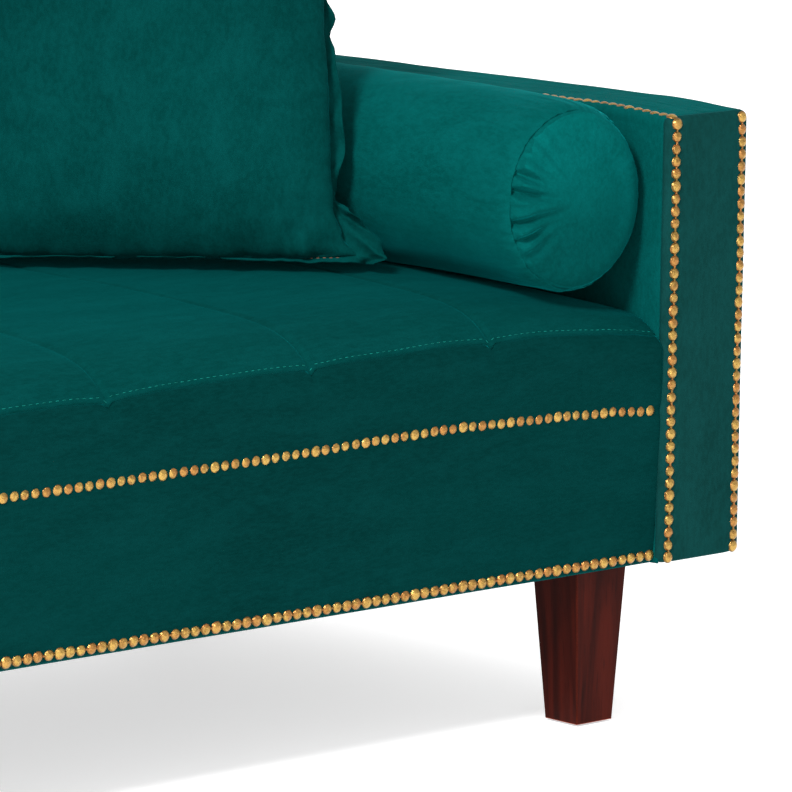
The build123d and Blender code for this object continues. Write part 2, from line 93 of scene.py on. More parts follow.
class SofaTrimSettings(bpy.types.PropertyGroup):
    pitch: FloatProperty(name="Pitch", description="Distance between heads", default=0.0125, unit="LENGTH")
    period: IntProperty(name="Period", description="Every so many heads is a driven nail", default=5)
    nail_r: FloatProperty(name="Nail", description="Radius of a driven head", default=0.0062, unit="LENGTH")
    head_r: FloatProperty(name="Head", description="Radius of a stamped head", default=0.0057, unit="LENGTH")
    inset: FloatProperty(
        name="Inset", description="Rows in from the edges of the arm", default=0.010, unit="LENGTH"
    )
    brass: FloatVectorProperty(
        name="Brass", description="Colour of the trim", subtype="COLOR", default=(0.40, 0.215, 0.060)
    )


class SofaStageSettings(bpy.types.PropertyGroup):
    key_power: FloatProperty(
        name="Key light", description="Power of the main light", default=350.0, unit="POWER"
    )
    fill_power: FloatProperty(
        name="Fill light", description="Power of the front light", default=40.0, unit="POWER"
    )
    sky: FloatProperty(name="Room light", description="Brightness all round", default=1.0, subtype="FACTOR")
    lens: FloatProperty(name="Lens", description="Focal length", default=282.5, unit="CAMERA")


def cloth():
    return bpy.context.scene.sofa_cloth


def trim():
    return bpy.context.scene.sofa_trim


# ---------------------------------------------------------------- shader expressions
class Sock:
    """A shader socket that takes part in Python expressions."""

    def __init__(self, tree, socket):
        self.tree = tree
        self.socket = socket

    def node(self, kind, settings=None, **inputs):
        return add_node(self.tree, kind, settings, **inputs)

    def math(self, operation, *values):
        made = self.tree.nodes.new("ShaderNodeMath")
        made.operation = operation
        for place, value in enumerate(values):
            plug(self.tree, made.inputs[place], value)
        return Sock(self.tree, made.outputs[0])

    def __add__(self, other):
        return self.math("ADD", self, other)

    __radd__ = __add__

    def __sub__(self, other):
        return self.math("SUBTRACT", self, other)

    def __rsub__(self, other):
        return self.math("SUBTRACT", other, self)

    def __mul__(self, other):
        return self.math("MULTIPLY", self, other)

    __rmul__ = __mul__

    def __pow__(self, other):
        return self.math("POWER", self, other)

    def band(self, low, high):
        """0 below low, 1 above high, smooth between."""
        made = self.node("ShaderNodeMapRange", {"interpolation_type": "SMOOTHSTEP"}, Value=self)
        made.inputs["From Min"].default_value = low
        made.inputs["From Max"].default_value = high
        return Sock(self.tree, made.outputs[0])


def plug(tree, socket, value):
    if isinstance(value, Sock):
        tree.links.new(value.socket, socket)
    elif isinstance(value, bpy.types.NodeSocket):
        tree.links.new(value, socket)
    elif isinstance(value, tuple) and len(value) == 3 and socket.type == "RGBA":
        socket.default_value = (*value, 1.0)
    else:
        socket.default_value = value


def add_node(tree, kind, settings=None, **inputs):
    """Any node: its settings first, then the values or links of its sockets."""
    made = tree.nodes.new(kind)
    for name, value in (settings or {}).items():
        setattr(made, name, value)
    for name, value in inputs.items():
        plug(tree, made.inputs[name.replace("_", " ")], value)
    return made


def mix_colour(tree, factor, a, b):
    made = add_node(tree, "ShaderNodeMix", {"data_type": "RGBA"})
    plug(tree, made.inputs[0], factor)
    plug(tree, made.inputs[6], a)
    plug(tree, made.inputs[7], b)
    return Sock(tree, made.outputs[2])


def vector_math(tree, operation, a, b, output="Vector"):
    made = add_node(tree, "ShaderNodeVectorMath", {"operation": operation})
    plug(tree, made.inputs[0], a)
    plug(tree, made.inputs[1], b)
    return Sock(tree, made.outputs[output])


def pattern(tree, scale, stretch=(1, 1, 1), detail=3.0, distortion=0.0, rough=0.5):
    """Noise in the object's own metres, drawn out along an axis by the stretch."""
    place = add_node(tree, "ShaderNodeTexCoord").outputs["Object"]
    mapped = add_node(tree, "ShaderNodeMapping", None, Vector=place, Scale=tuple(scale * s for s in stretch))
    made = add_node(
        tree, "ShaderNodeTexNoise", None,
        Vector=mapped.outputs[0], Scale=1.0, Detail=detail, Distortion=distortion, Roughness=rough,
    )
    return Sock(tree, made.outputs["Fac"])


def bump(tree, height, distance, strength=1.0):
    made = add_node(tree, "ShaderNodeBump", None, Height=height, Distance=distance, Strength=strength)
    return Sock(tree, made.outputs[0])


def surface(name, colour, roughness, normal=None, **fixed):
    """A material on one Principled shader; colour, roughness and normal come from build functions."""
    material = bpy.data.materials.new(name)
    material.use_nodes = True
    tree = material.node_tree
    shader = tree.nodes["Principled BSDF"]
    plug(tree, shader.inputs["Base Color"], colour(tree))
    plug(tree, shader.inputs["Roughness"], roughness(tree))
    if normal:
        plug(tree, shader.inputs["Normal"], normal(tree))
    for key, value in fixed.items():
        plug(tree, shader.inputs[key.replace("_", " ")], value)
    return material


def height_share(tree, low, high):
    """0 below the low height and 1 above the high one, in metres."""
    place = add_node(tree, "ShaderNodeTexCoord").outputs["Object"]
    split = add_node(tree, "ShaderNodeSeparateXYZ", None, Vector=place)
    return Sock(tree, split.outputs["Z"]).band(low, high)


def velvet(name, colour, streak, sheen=0.12, fade=None):
    """Cut pile: brushed streaks and hand marks, a fine nap, and a pale sheen at the edges; a fade paints
    shade by height.
    """
    deep = tuple(c * 0.70 for c in colour)
    pale = (colour[0] + 0.0006, colour[1] * 1.30, colour[2] * 1.36)

    def nap(tree):
        patches = pattern(tree, 4.5, streak, 5.0, 0.7, 0.55).band(0.34, 0.68)
        streaks = pattern(tree, 30.0, streak, 4.0, 0.5, 0.6).band(0.40, 0.70)
        fine = pattern(tree, 520.0, (1, 1, 1), 3.0).band(0.3, 0.7)
        ground = mix_colour(tree, patches * 0.8, deep, colour)
        brushed = mix_colour(tree, streaks * 0.45, ground, pale)
        specks = pattern(tree, 210.0, streak, 4.0, 0.2, 0.7).band(0.34, 0.66)
        worn = mix_colour(tree, specks * 0.38, mix_colour(tree, fine * 0.45, brushed, deep), pale)
        if not fade:
            return worn
        # Painted shade by height: the colour is scaled from the below factor at the low height to the above
        # factor at the high one.
        low, high, below, above = fade
        toned = mix_colour(tree, height_share(tree, low, high), (below,) * 3, (above,) * 3)
        return vector_math(tree, "MULTIPLY", worn, toned)

    def rough(tree):
        return pattern(tree, 60.0, streak) * 0.2 + 0.75

    def relief(tree):
        pile = pattern(tree, 900.0, (1, 1, 1), 2.0)
        cloth = pattern(tree, 34.0, streak, 3.0, 0.4)
        return bump(tree, pile * 0.4 + cloth, 0.0012, 0.6)

    return surface(
        name, nap, rough, relief,
        Sheen_Weight=sheen, Sheen_Roughness=0.35, Sheen_Tint=(0.0, 0.60, 0.62), Specular_IOR_Level=0.008,
    )


def aged_brass(name, colour, tarnish):
    """Lacquered antique brass with brown specks; the crowns stand brighter than the rims, whose darker brass
    is painted shade.
    """
    def metal(tree):
        each = pattern(tree, 55.0, (1, 1, 1), 2.0).band(0.40, 0.62)
        blotch = pattern(tree, 260.0, (1, 1, 1), 4.0, 0.4).band(0.44, 0.66)
        speck = pattern(tree, 900.0, (1, 1, 1), 3.0).band(0.52, 0.68)
        golden = (colour[0] * 1.10, colour[1] * 1.28, colour[2] * 1.15)
        toned = mix_colour(tree, each * tarnish, golden, (0.33, 0.125, 0.035))
        worn = mix_colour(tree, blotch * tarnish, toned, (0.20, 0.105, 0.028))
        return mix_colour(tree, speck * 0.65, worn, (0.10, 0.05, 0.02))

    def rough(tree):
        return pattern(tree, 320.0, (1, 1, 1), 3.0) * 0.30 + 0.14

    def dents(tree):
        return bump(tree, pattern(tree, 420.0, (1, 1, 1), 2.0), 0.0010, 0.9)

    return surface(name, metal, rough, dents, Metallic=0.92)


def painted_edge_highlight(tree, reach):
    """1 along the sharp edges of a part, 0 on its faces: the mask of a painted highlight."""
    rounded = add_node(tree, "ShaderNodeBevel", {"samples": 6}, Radius=reach).outputs[0]
    flat = add_node(tree, "ShaderNodeNewGeometry").outputs["Normal"]
    return (1 - vector_math(tree, "DOT_PRODUCT", rounded, flat, "Value")).band(0.012, 0.16)


def polished_wood(name, dark, red, gloss, edge=None, **fixed):
    """Stained hardwood under lacquer: long grain, pores and a warm tone, with a painted highlight of the edge
    colour along the sharp edges when one is given.
    """
    def grain(tree):
        rings = pattern(tree, 34.0, (1, 1, 0.07), 6.0, 1.0).band(0.34, 0.68)
        pores = pattern(tree, 480.0, (1, 1, 0.04), 3.0).band(0.52, 0.74)
        warm = mix_colour(tree, rings, dark, red)
        toned = mix_colour(tree, pores * 0.5, warm, tuple(c * 0.35 for c in dark))
        if not edge:
            return toned
        # Painted highlight: the edge colour is mixed in along the sharp edges.
        return mix_colour(tree, painted_edge_highlight(tree, 0.0022) * 0.75, toned, edge)

    def rough(tree):
        return pattern(tree, 90.0, (1, 1, 0.1)) * 0.2 + gloss

    def relief(tree):
        return bump(tree, pattern(tree, 300.0, (1, 1, 0.05)), 0.0003, 0.35)

    return surface(name, grain, rough, relief, **fixed)


def plain_stuff(name, colour, scale, stretch, rough_low, depth, contrast=0.5, **fixed):
    """Inner materials: two tones in a grain of that scale, with relief to match."""
    other = tuple(c * (1 - contrast) for c in colour)

    def tone(tree):
        broad = pattern(tree, scale * 0.15, stretch, 4.0, 0.6).band(0.35, 0.68)
        fine = pattern(tree, scale, stretch, 4.0).band(0.4, 0.66)
        return mix_colour(tree, fine * 0.5, mix_colour(tree, broad, colour, other), other)

    def rough(tree):
        return pattern(tree, scale, stretch) * 0.25 + rough_low

    def relief(tree):
        return bump(tree, pattern(tree, scale * 1.5, stretch, 3.0), depth, 0.6)

    return surface(name, tone, rough, relief, **fixed)


# ---------------------------------------------------------------- mesh helpers
def spaced(low, high, step, marks=(), fine=0.0022, reach=0.012):
    """Places from low to high at about that step, closer together beside the marks."""
    places = [low]
    while places[-1] < high - 1e-9:
        near = min((abs(places[-1] - mark) for mark in marks), default=1.0)
        places.append(min(high, places[-1] + (fine if near < reach else step)))
    return places


def grid(name, columns, rows, place, wrap=False, caps=False):
    """A surface over columns and rows; wrap joins the last column to the first, caps closes the ends."""
    points = [place(u, v) for v in rows for u in columns]
    count = len(columns)
    faces = []
    for j in range(len(rows) - 1):
        for i in range(count if wrap else count - 1):
            k = (i + 1) % count
            faces.append((j * count + i, j * count + k, (j + 1) * count + k, (j + 1) * count + i))
    if caps:
        last = (len(rows) - 1) * count
        faces.append(tuple(reversed(range(count))))
        faces.append(tuple(last + i for i in range(count)))
    piece = new_piece(name, points, faces)
    piece.data.validate()
    return piece


def new_piece(name, points, faces):
    mesh = bpy.data.meshes.new(name)
    mesh.from_pydata(points, [], faces)
    piece = bpy.data.objects.new(name, mesh)
    bpy.context.scene.collection.objects.link(piece)
    return piece


def ring_faces(rings, sides, first=0):
    """Faces between closed rings of points that follow one another."""
    faces = []
    for a in range(first, first + rings * sides):
        b = a + 1 if (a - first + 1) % sides else a + 1 - sides
        faces.append((a, b, b + sides, a + sides))
    return faces


def outward(piece):
    """Weld a closed piece and turn all its faces outwards."""
    edit = bmesh.new()
    edit.from_mesh(piece.data)
    bmesh.ops.remove_doubles(edit, verts=edit.verts, dist=1e-5)
    bmesh.ops.recalc_face_normals(edit, faces=edit.faces)
    edit.to_mesh(piece.data)
    edit.free()


def thicken(piece, towards=None):
    """Give an open surface the cloth's thickness; its face side points along towards, or off its core."""
    mesh = piece.data
    if towards:
        facing = sum((face.normal * face.area for face in mesh.polygons), Vector()).dot(Vector(towards))
    else:
        low, high = (Vector((pick(v.co[i] for v in mesh.vertices) for i in range(3))) for pick in (min, max))
        top = max(mesh.polygons, key=lambda f: f.center.z)
        facing = top.normal.dot(top.center - (low + high) / 2)
    if facing < 0:
        mesh.flip_normals()
    solid = piece.modifiers.new("cloth", "SOLIDIFY")
    solid.thickness = cloth().cloth_t
    solid.offset = -1
    apply_modifiers(piece)


def apply_modifiers(piece):
    view = bpy.context.evaluated_depsgraph_get()
    baked = bpy.data.meshes.new_from_object(piece.evaluated_get(view))
    old = piece.data
    piece.modifiers.clear()
    piece.data = baked
    baked.name = piece.name
    bpy.data.meshes.remove(old)


def join_meshes(name, parts):
    """One piece from several meshes given as (points, faces)."""
    points = []
    faces = []
    for some_points, some_faces in parts:
        base = len(points)
        points += some_points
        faces += [tuple(base + i for i in face) for face in some_faces]
    return new_piece(name, points, faces)


def dress(piece, body, slot, material, *nodes):
    """Give a piece its material and its body, and hide the nodes that it stands for; the slot is not used."""
    piece.data.materials.clear()
    piece.data.materials.append(material)
    for face in piece.data.polygons:
        face.use_smooth = True
    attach(piece, body)
    if nodes:
        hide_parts(*nodes)
    return piece


def upholster(piece, key, fill, *nodes, body=BODY, slot="velvet"):
    """Dress a velvet piece that stands for those nodes; the fill is not used."""
    dress(piece, body, slot, material(key), *nodes)


def ease(value):
    """0 below 0, 1 above 1, smooth between."""
    value = min(1.0, max(0.0, value))
    return value * value * (3 - 2 * value)


def ease_ends(share):
    """Even steps in the middle, closer ones at both ends."""
    return share - 0.13 * math.sin(2 * math.pi * share)


def soft(x, y, z, scale):
    """Smooth noise from -1 to 1 with features about that long."""
    return noise.noise(Vector((x / scale, y / scale, z / scale)))


def valley(distance, width):
    """1 at the middle of a groove, falling to 0 on both sides."""
    return math.exp(-((distance / width) ** 2))


# ---------------------------------------------------------------- shape of the upholstery
SEAM_PLACES = [side * x * MM for x in (216, 463, 693) for side in (-1, 1)] + [0.0]
SEAM_HIGH = BAND_HIGH.z
SEAM_FORWARD = 0.008
CROWN = SEAT_HIGH.z
ROLL_SHORT = 0.025
ROLL_LONG = 0.150
SHORT_SHARE = 0.62
CROWN_FLAT = HALF_SEAT - 0.215
CROWN_RADIUS = 0.643
SIDE_DROP_SHARE = 0.82
SIDE_DROP_RUN = 0.045
SEAM_FADE_RUN = 0.10
PUCKER_DEPTH = 0.0022
PUCKER_WIDTH = 0.028
SEAT_WAVE = 0.0016
SEAT_WAVE_LONG = 0.16
SEAT_RIPPLE = 0.0006
SEAT_RIPPLE_LONG = 0.045
SEAM_TUCK = 0.0007
SEAM_TUCK_RUN = 0.002
TRIM_PRESS = 0.0016
TRIM_PRESS_WIDTH = 0.0065
TURN_SHARE = 0.86
HEM_TURN = 0.006
HEM_TUCK = 0.004
TRIM_ROWS = (HEM + 0.0085, CROWN - 0.131)
BULGE = 0.008
BULGE_LOW = SEAM_HIGH - 0.048
BULGE_HIGH = SEAM_HIGH - 0.026
# Height of the front seam and of the upper trim row at distances from the middle, in millimetres.
SEAM_LINE = (
    (0, -3.0), (100, -2.3), (217, -1.2), (300, 0.8), (400, 1.6), (470, 3.6), (570, 5.0), (614, 6.2),
    (671, 5.0), (745, 3.3), (809, 1.4), (844, -0.4), (879, -3.6), (915, -7.5),
)
ROW_LINE = (
    (0, 0.6), (210, 1.1), (400, 1.3), (460, 1.9), (522, 3.5), (590, 4.5), (645, 4.8), (710, 2.8), (772, 1.4),
    (835, -1.4), (899, -5.9), (915, -6.6),
)


def from_table(table, at):
    """Value of a table at a distance in millimetres, smooth between its entries."""
    for (low, a), (high, b) in zip(table, table[1:]):
        if at <= high:
            return (a + (b - a) * ease((at - low) / (high - low))) * MM
    return table[-1][1] * MM


def seam_z(x):
    """Height of the topstitched seam, which rises a little before it drops beside an arm."""
    return SEAM_HIGH + from_table(SEAM_LINE, abs(x) / MM) + 0.0006 * soft(x, 0, 3, 0.05)


def seat_point(x, run):
    """A point of the seat at that distance behind the seam."""
    rise = 1 - SHORT_SHARE * math.exp(-run / ROLL_SHORT) - (1 - SHORT_SHARE) * math.exp(-run / ROLL_LONG)
    z = seam_z(x) + (CROWN - seam_z(x)) * rise
    side = max(0.0, abs(x) - CROWN_FLAT)
    drop = (CROWN_RADIUS - math.sqrt(CROWN_RADIUS**2 - side**2)) * SIDE_DROP_SHARE
    z -= drop * (0.1 + 0.9 * (1 - math.exp(-run / SIDE_DROP_RUN)))
    nearest = min(abs(x - place) for place in SEAM_PLACES)
    fade = 0.16 + 0.84 * math.exp(-run / SEAM_FADE_RUN)
    sink = cloth().seam_depth * fade * valley(nearest, cloth().seam_width)
    sink += PUCKER_DEPTH * fade * valley(nearest, PUCKER_WIDTH)
    wave = SEAT_WAVE * soft(x, run, 1, SEAT_WAVE_LONG)
    z += wave + SEAT_RIPPLE * soft(x, run, 5, SEAT_RIPPLE_LONG) - sink
    tuck = SEAM_TUCK * math.exp(-run / SEAM_TUCK_RUN)
    return Vector((x, SEAM_Y - SEAM_FORWARD + run - 0.25 * sink + tuck, z))


def band_y(x, z):
    """Face of the front band: leans out to its bulge, pressed in along the trim rows."""
    lean = BULGE * min(1.0, (z - HEM) / (BULGE_LOW - HEM))
    y = BAND_LOW.y + BULGE - lean
    for row in TRIM_ROWS:
        press = TRIM_PRESS * valley(z - row_z(row, x), TRIM_PRESS_WIDTH)
        y += press * (0.75 + 0.25 * math.cos(2 * math.pi * x / trim().pitch))
    y += 0.0007 * soft(x, z, 7, 0.09) + 0.0003 * soft(x, z, 9, 0.02)
    return y


def row_z(row, x):
    """Height of a rail row; the upper one rises a little, then dips before it reaches an arm."""
    if row == TRIM_ROWS[0]:
        return row + 0.0004 * soft(x, 0, 2, 0.08)
    return row + from_table(ROW_LINE, abs(x) / MM) + 0.0005 * soft(x, 0, 4, 0.07)


def band_point(x, share):
    """A point of the front band, from the hem at 0, over the bulge, to the seam at 1."""
    if share <= TURN_SHARE:
        z = HEM + (BULGE_HIGH - HEM) * share / TURN_SHARE
        y = band_y(x, z)
        hem_turn = max(0.0, 1 - (z - HEM) / HEM_TURN)
        return Vector((x, y + HEM_TUCK * hem_turn**2, z))
    turn = (share - TURN_SHARE) / (1 - TURN_SHARE)
    top = seat_point(x, 0.0).z
    start = band_y(x, BULGE_HIGH)
    tuck = SEAM_TUCK * ease((turn - 0.92) / 0.08)
    y = start + (SEAM_Y - SEAM_FORWARD - start) * turn**2
    return Vector((x, y + tuck, BULGE_HIGH + (top - BULGE_HIGH) * turn))


MATERIALS = {}


def material(key):
    """The sofa's finishes, each made once."""
    if key in MATERIALS:
        return MATERIALS[key]
    base = tuple(cloth().velvet)

    def shade(painted_brightness, red=0.0):
        """The velvet's colour scaled for one piece: a brighter copy paints light and a dimmer one paints
        shade on that piece.
        """
        return (base[0] + red, base[1] * painted_brightness, base[2] * painted_brightness)

    # Every velvet piece takes its own scaled copy of one colour; the factors paint the light and shade on
    # each piece, the band, seat and arm fronts dimmer, the arms, back, bolsters and discs brighter.
    makers = {
        "seat": lambda: velvet("velvet_seat", shade(0.52), (0.35, 1.3, 1)),
        "band": lambda: velvet("velvet_band", shade(0.375), (0.45, 1, 1.5)),
        "panel": lambda: velvet("velvet_panel", shade(0.53, 0.0028), (1, 1, 0.5)),
        "upright": lambda: velvet("velvet_upright", shade(0.86), (1, 1, 0.55)),
        "bolster": lambda: velvet("velvet_bolster", shade(0.90), (1, 0.5, 1), 0.26),
        # The disc is painted darker towards its bottom, as painted shade.
        "disc": lambda: velvet("velvet_disc", shade(1.20), (1, 1, 1), fade=(0.475, 0.60, 0.60, 1.0)),
        # The pillow is painted darker towards its top, as painted shade.
        "pillow": lambda: velvet(
            "velvet_pillow", shade(0.56), (0.9, 0.9, 0.6), fade=(0.50, 0.86, 1.14, 0.82)
        ),
        "thread": lambda: plain_stuff(
            "topstitch_thread", tuple(cloth().thread), 900.0, (1, 1, 1), 0.7, 0.0002, Specular_IOR_Level=0.05
        ),
        "gold_thread": lambda: plain_stuff("gold_thread", (0.20, 0.075, 0.03), 900.0, (1, 1, 1), 0.5, 0.0002),
        "nail": lambda: aged_brass("nail_brass", tuple(trim().brass), 0.35),
        "strip": lambda: aged_brass("strip_brass", tuple(c * 0.95 for c in trim().brass), 0.70),
        # Darker brass for the rims of the heads, painted shade, also used on the links.
        "rim_shade": lambda: aged_brass("painted_rim_shade", tuple(c * 0.42 for c in trim().brass), 0.85),
        "leg": lambda: polished_wood(
            # The last colour is the legs' painted edge highlight.
            "mahogany_stain", (0.015, 0.0012, 0.0004), (0.047, 0.0045, 0.0017), 0.34, (0.34, 0.050, 0.018),
            Specular_IOR_Level=0.04, Coat_Weight=0.01, Coat_Roughness=0.15,
        ),
        "timber": lambda: polished_wood("frame_timber", (0.30, 0.19, 0.10), (0.52, 0.36, 0.21), 0.55),
        "board": lambda: plain_stuff("fibreboard", (0.33, 0.22, 0.13), 260.0, (1, 1, 1), 0.65, 0.0003, 0.4),
        "lining": lambda: plain_stuff("black_lining", (0.018, 0.018, 0.020), 700.0, (1, 1, 1), 0.75, 0.0003),
        "webbing": lambda: plain_stuff(
            "elastic_webbing", (0.30, 0.23, 0.13), 500.0, (1, 1, 0.1), 0.7, 0.0006
        ),
        "steel": lambda: plain_stuff(
            "zinc_plate", (0.55, 0.55, 0.53), 160.0, (1, 1, 1), 0.22, 0.0001, 0.3, Metallic=1.0
        ),
        "wire": lambda: plain_stuff(
            "spring_wire", (0.16, 0.16, 0.17), 120.0, (1, 1, 1), 0.3, 0.0001, 0.4, Metallic=1.0
        ),
        "glide": lambda: plain_stuff("glide_nylon", (0.03, 0.03, 0.03), 240.0, (1, 1, 1), 0.45, 0.0001, 0.3),
        "floor": lambda: plain_stuff(
            "studio_floor", (0.86, 0.86, 0.86), 3.0, (1, 1, 1), 0.6, 0.0, 0.015,
            Emission_Color=(1.0, 1.0, 1.0), Emission_Strength=0.55,
        ),
    }
    MATERIALS[key] = makers[key]()
    return MATERIALS[key]


# ---------------------------------------------------------------- operators
class SOFA_OT_seat(bpy.types.Operator):
    """The bench seat's sewn velvet cover over its foam"""

    bl_idname = "sofa.seat"
    bl_label = "Seat"

    def execute(self, context):
        columns = spaced(-HALF_SEAT, HALF_SEAT, 0.009, SEAM_PLACES)
        depth = SEAT_HIGH.y - SEAM_Y
        rows = spaced(0.0, depth, 0.010, (0.0,), 0.0025, 0.055)
        piece = grid("seat_velvet", columns, rows, seat_point)
        thicken(piece, (0, 0, 1))
        upholster(piece, "seat", 0.8, "seat_cover", "seat_foam")
        return {"FINISHED"}


class SOFA_OT_band(bpy.types.Operator):
    """The velvet band over the front rail"""

    bl_idname = "sofa.band"
    bl_label = "Front band"

    def execute(self, context):
        columns = spaced(-HALF_SEAT, HALF_SEAT, 0.0042)
        rows = [i / 64 for i in range(65)]
        piece = grid("front_band_velvet", columns, rows, band_point)
        thicken(piece, (0, -1, 0))
        upholster(piece, "band", 0.9, "front_band", "front_pad")
        return {"FINISHED"}


STITCH_STEP = 0.0078
STITCH_BEHIND = 0.0035
STITCH_LENGTH = 0.0042
STITCH_RADIUS = 0.00042


class SOFA_OT_topstitch(bpy.types.Operator):
    """Short stitches of pale thread along the seat's front seam"""

    bl_idname = "sofa.topstitch"
    bl_label = "Topstitching"

    def execute(self, context):
        parts = []
        count = int(2 * HALF_SEAT / STITCH_STEP)
        for i in range(count):
            x = (i - count / 2 + 0.5) * STITCH_STEP
            at = seat_point(x, STITCH_BEHIND)
            along = seat_point(x + 0.001, STITCH_BEHIND) - seat_point(x - 0.001, STITCH_BEHIND)
            up = Vector((0, -0.72, 0.69))
            parts.append(stitch(at + up * 0.0001, along.normalized(), up, STITCH_LENGTH, STITCH_RADIUS))
        piece = join_meshes("seat_topstitch", parts)
        dress(piece, BODY, "velvet", material("thread"))
        return {"FINISHED"}


def stitch(at, along, up, length, radius):
    """One stitch: a short hexagonal bead of thread, half sunk in the cloth."""
    side = along.cross(up).normalized()
    points = []
    sections = ((-0.5, 0.35), (-0.3, 1.0), (0.3, 1.0), (0.5, 0.35))
    for share, fat in sections:
        for k in range(6):
            turn = k * math.pi / 3
            offset = side * math.cos(turn) + up * math.sin(turn)
            points.append(at + along * (share * length) + offset * (radius * fat))
    faces = [(5, 4, 3, 2, 1, 0), tuple(18 + k for k in range(6))]
    return points, faces + ring_faces(3, 6)


# ---- arms ----
ARM_FRONT = PANEL_LOW.y
ARM_TOP = ARM_HIGH.z
ARM_ROUND = 0.0085
CORNER_ROUND = 0.0105
ARM_DROOP = 0.0045
DROOP_RUN = 0.12
ARM_LEAN = 0.0042


def arm_top_z(y):
    """The top of an arm droops a little towards its front."""
    return ARM_TOP - ARM_DROOP * (1 - ease((y - ARM_FRONT) / DROOP_RUN)) ** 1.3


def lean_out(point):
    """The padding lets an arm's top stand a little further out than its foot."""
    point.x += ARM_LEAN * (point.z - 0.389) / 0.215
    return point


def walk(lengths, share):
    """Which stretch of a path a share of its length falls in, and how far along that stretch."""
    along = share * sum(lengths)
    for number, length in enumerate(lengths[:-1]):
        if along <= length:
            return number, along
        along -= length
    return len(lengths) - 1, along


def arm_side_point(share, y):
    """A point of the arm's cover: up the inner face, over the top, down the outer face."""
    x0, x1, r = ARM_LOW.x, OUTSIDE_HIGH.x, ARM_ROUND
    top = arm_top_z(y)
    height = top - r - HEM
    number, along = walk([height, r * math.pi / 2, x1 - x0 - 2 * r, r * math.pi / 2, height], share)
    inward = 0.0012 * valley(y - ARM_FRONT - ARM_ROUND, 0.004)
    wave = 0.0007 * soft(share * 6, y, 2, 0.11) + 0.0003 * soft(share * 9, y, 8, 0.035) - inward
    if number == 0:
        return lean_out(Vector((x0 - wave, y, HEM + along)))
    if number == 4:
        return lean_out(Vector((x1 + wave, y, top - r - along)))
    if number == 2:
        press = 0.0013 * valley(along + r - trim().inset, 0.006)
        return lean_out(Vector((x0 + r + along, y, top + wave - press)))
    turn = along / r
    up = math.sin(turn) * (r + wave)
    if number == 1:
        return lean_out(Vector((x0 + r - (r + wave) * math.cos(turn), y, top - r + up)))
    return lean_out(Vector((x1 - r + up, y, top - r + (r + wave) * math.cos(turn))))


def front_panel_point(u, v):
    """A point of the arm's front panel: u across, v up, both from 0 to 1."""
    x0, x1, r = ARM_LOW.x, OUTSIDE_HIGH.x, ARM_ROUND
    top = arm_top_z(ARM_FRONT + r)
    x = x0 + (x1 - x0) * u
    z = HEM + (top - HEM) * v
    edge = min(x - x0, x1 - x, top - z, (z - HEM) * 1.6)
    rounding = r * (1 - math.sqrt(max(0.0, 1 - ((r - edge) / r) ** 2))) if edge < r else 0.0
    inner = CORNER_ROUND - (x - x0)
    if inner > 0:
        rounding = max(rounding, CORNER_ROUND - math.sqrt(max(0.0, CORNER_ROUND**2 - inner**2)))
    centre_x = min(max(x, x0 + r), x1 - r)
    centre_z = min(max(z, HEM + r), top - r)
    off = Vector((x - centre_x, 0, z - centre_z))
    if off.x and off.z:
        off *= max(abs(off.x), abs(off.z)) / off.length
    x, z = centre_x + off.x, centre_z + off.z
    inset = trim().inset
    press = sum(0.0015 * valley(x - row, 0.0055) for row in (x0 + inset, x1 - inset))
    press *= 0.75 + 0.25 * math.cos(2 * math.pi * (z - HEM) / trim().pitch)
    swell = 0.0012 * math.sin(math.pi * u) * ease(v * 12) * ease((1 - v) * 12)
    y = ARM_FRONT + 0.0012 + rounding + press - swell + 0.0006 * soft(x, z, 5, 0.08)
    return lean_out(Vector((x, y, z)))


def other_side(place, side):
    """The same shape on the right (1) or the left (-1) side."""
    def moved(u, v):
        point = place(u, v)
        return Vector((point.x * side, point.y, point.z))

    return moved


class SOFA_OT_arms(bpy.types.Operator):
    """Velvet over both arms, with a separate panel on each front"""

    bl_idname = "sofa.arms"
    bl_label = "Arms"

    def execute(self, context):
        for side, name in SIDES:
            rows = spaced(ARM_FRONT + ARM_ROUND, OUTSIDE_LOW.y, 0.009, (ARM_FRONT,), 0.0025, 0.03)
            columns = [i / 150 for i in range(151)]
            over_top = [0.42 + i / 800 for i in range(130)]
            columns = sorted(set(columns + over_top))
            piece = grid(f"arm_velvet_{name}", columns, rows, other_side(arm_side_point, side))
            thicken(piece)
            nodes = [f"arm_{part}_{name}" for part in ("inside_cover", "outside_cover", "pad")]
            upholster(piece, "upright", 0.9, *nodes)
            self.front_panel(side, name)
        return {"FINISHED"}

    def front_panel(self, side, name):
        across = [ease_ends(i / 44) for i in range(45)]
        up = [ease_ends(i / 140) for i in range(141)]
        piece = grid(f"arm_front_velvet_{name}", across, up, other_side(front_panel_point, side))
        thicken(piece, (0, -1, 0))
        upholster(piece, "panel", 0.9, f"arm_front_cover_{name}")


# ---- back ----
BACK_ROUND = 0.035
BACK_REAR_ROUND = 0.014
BACK_RAKE = 0.038
BACK_END_ROUND = 0.010


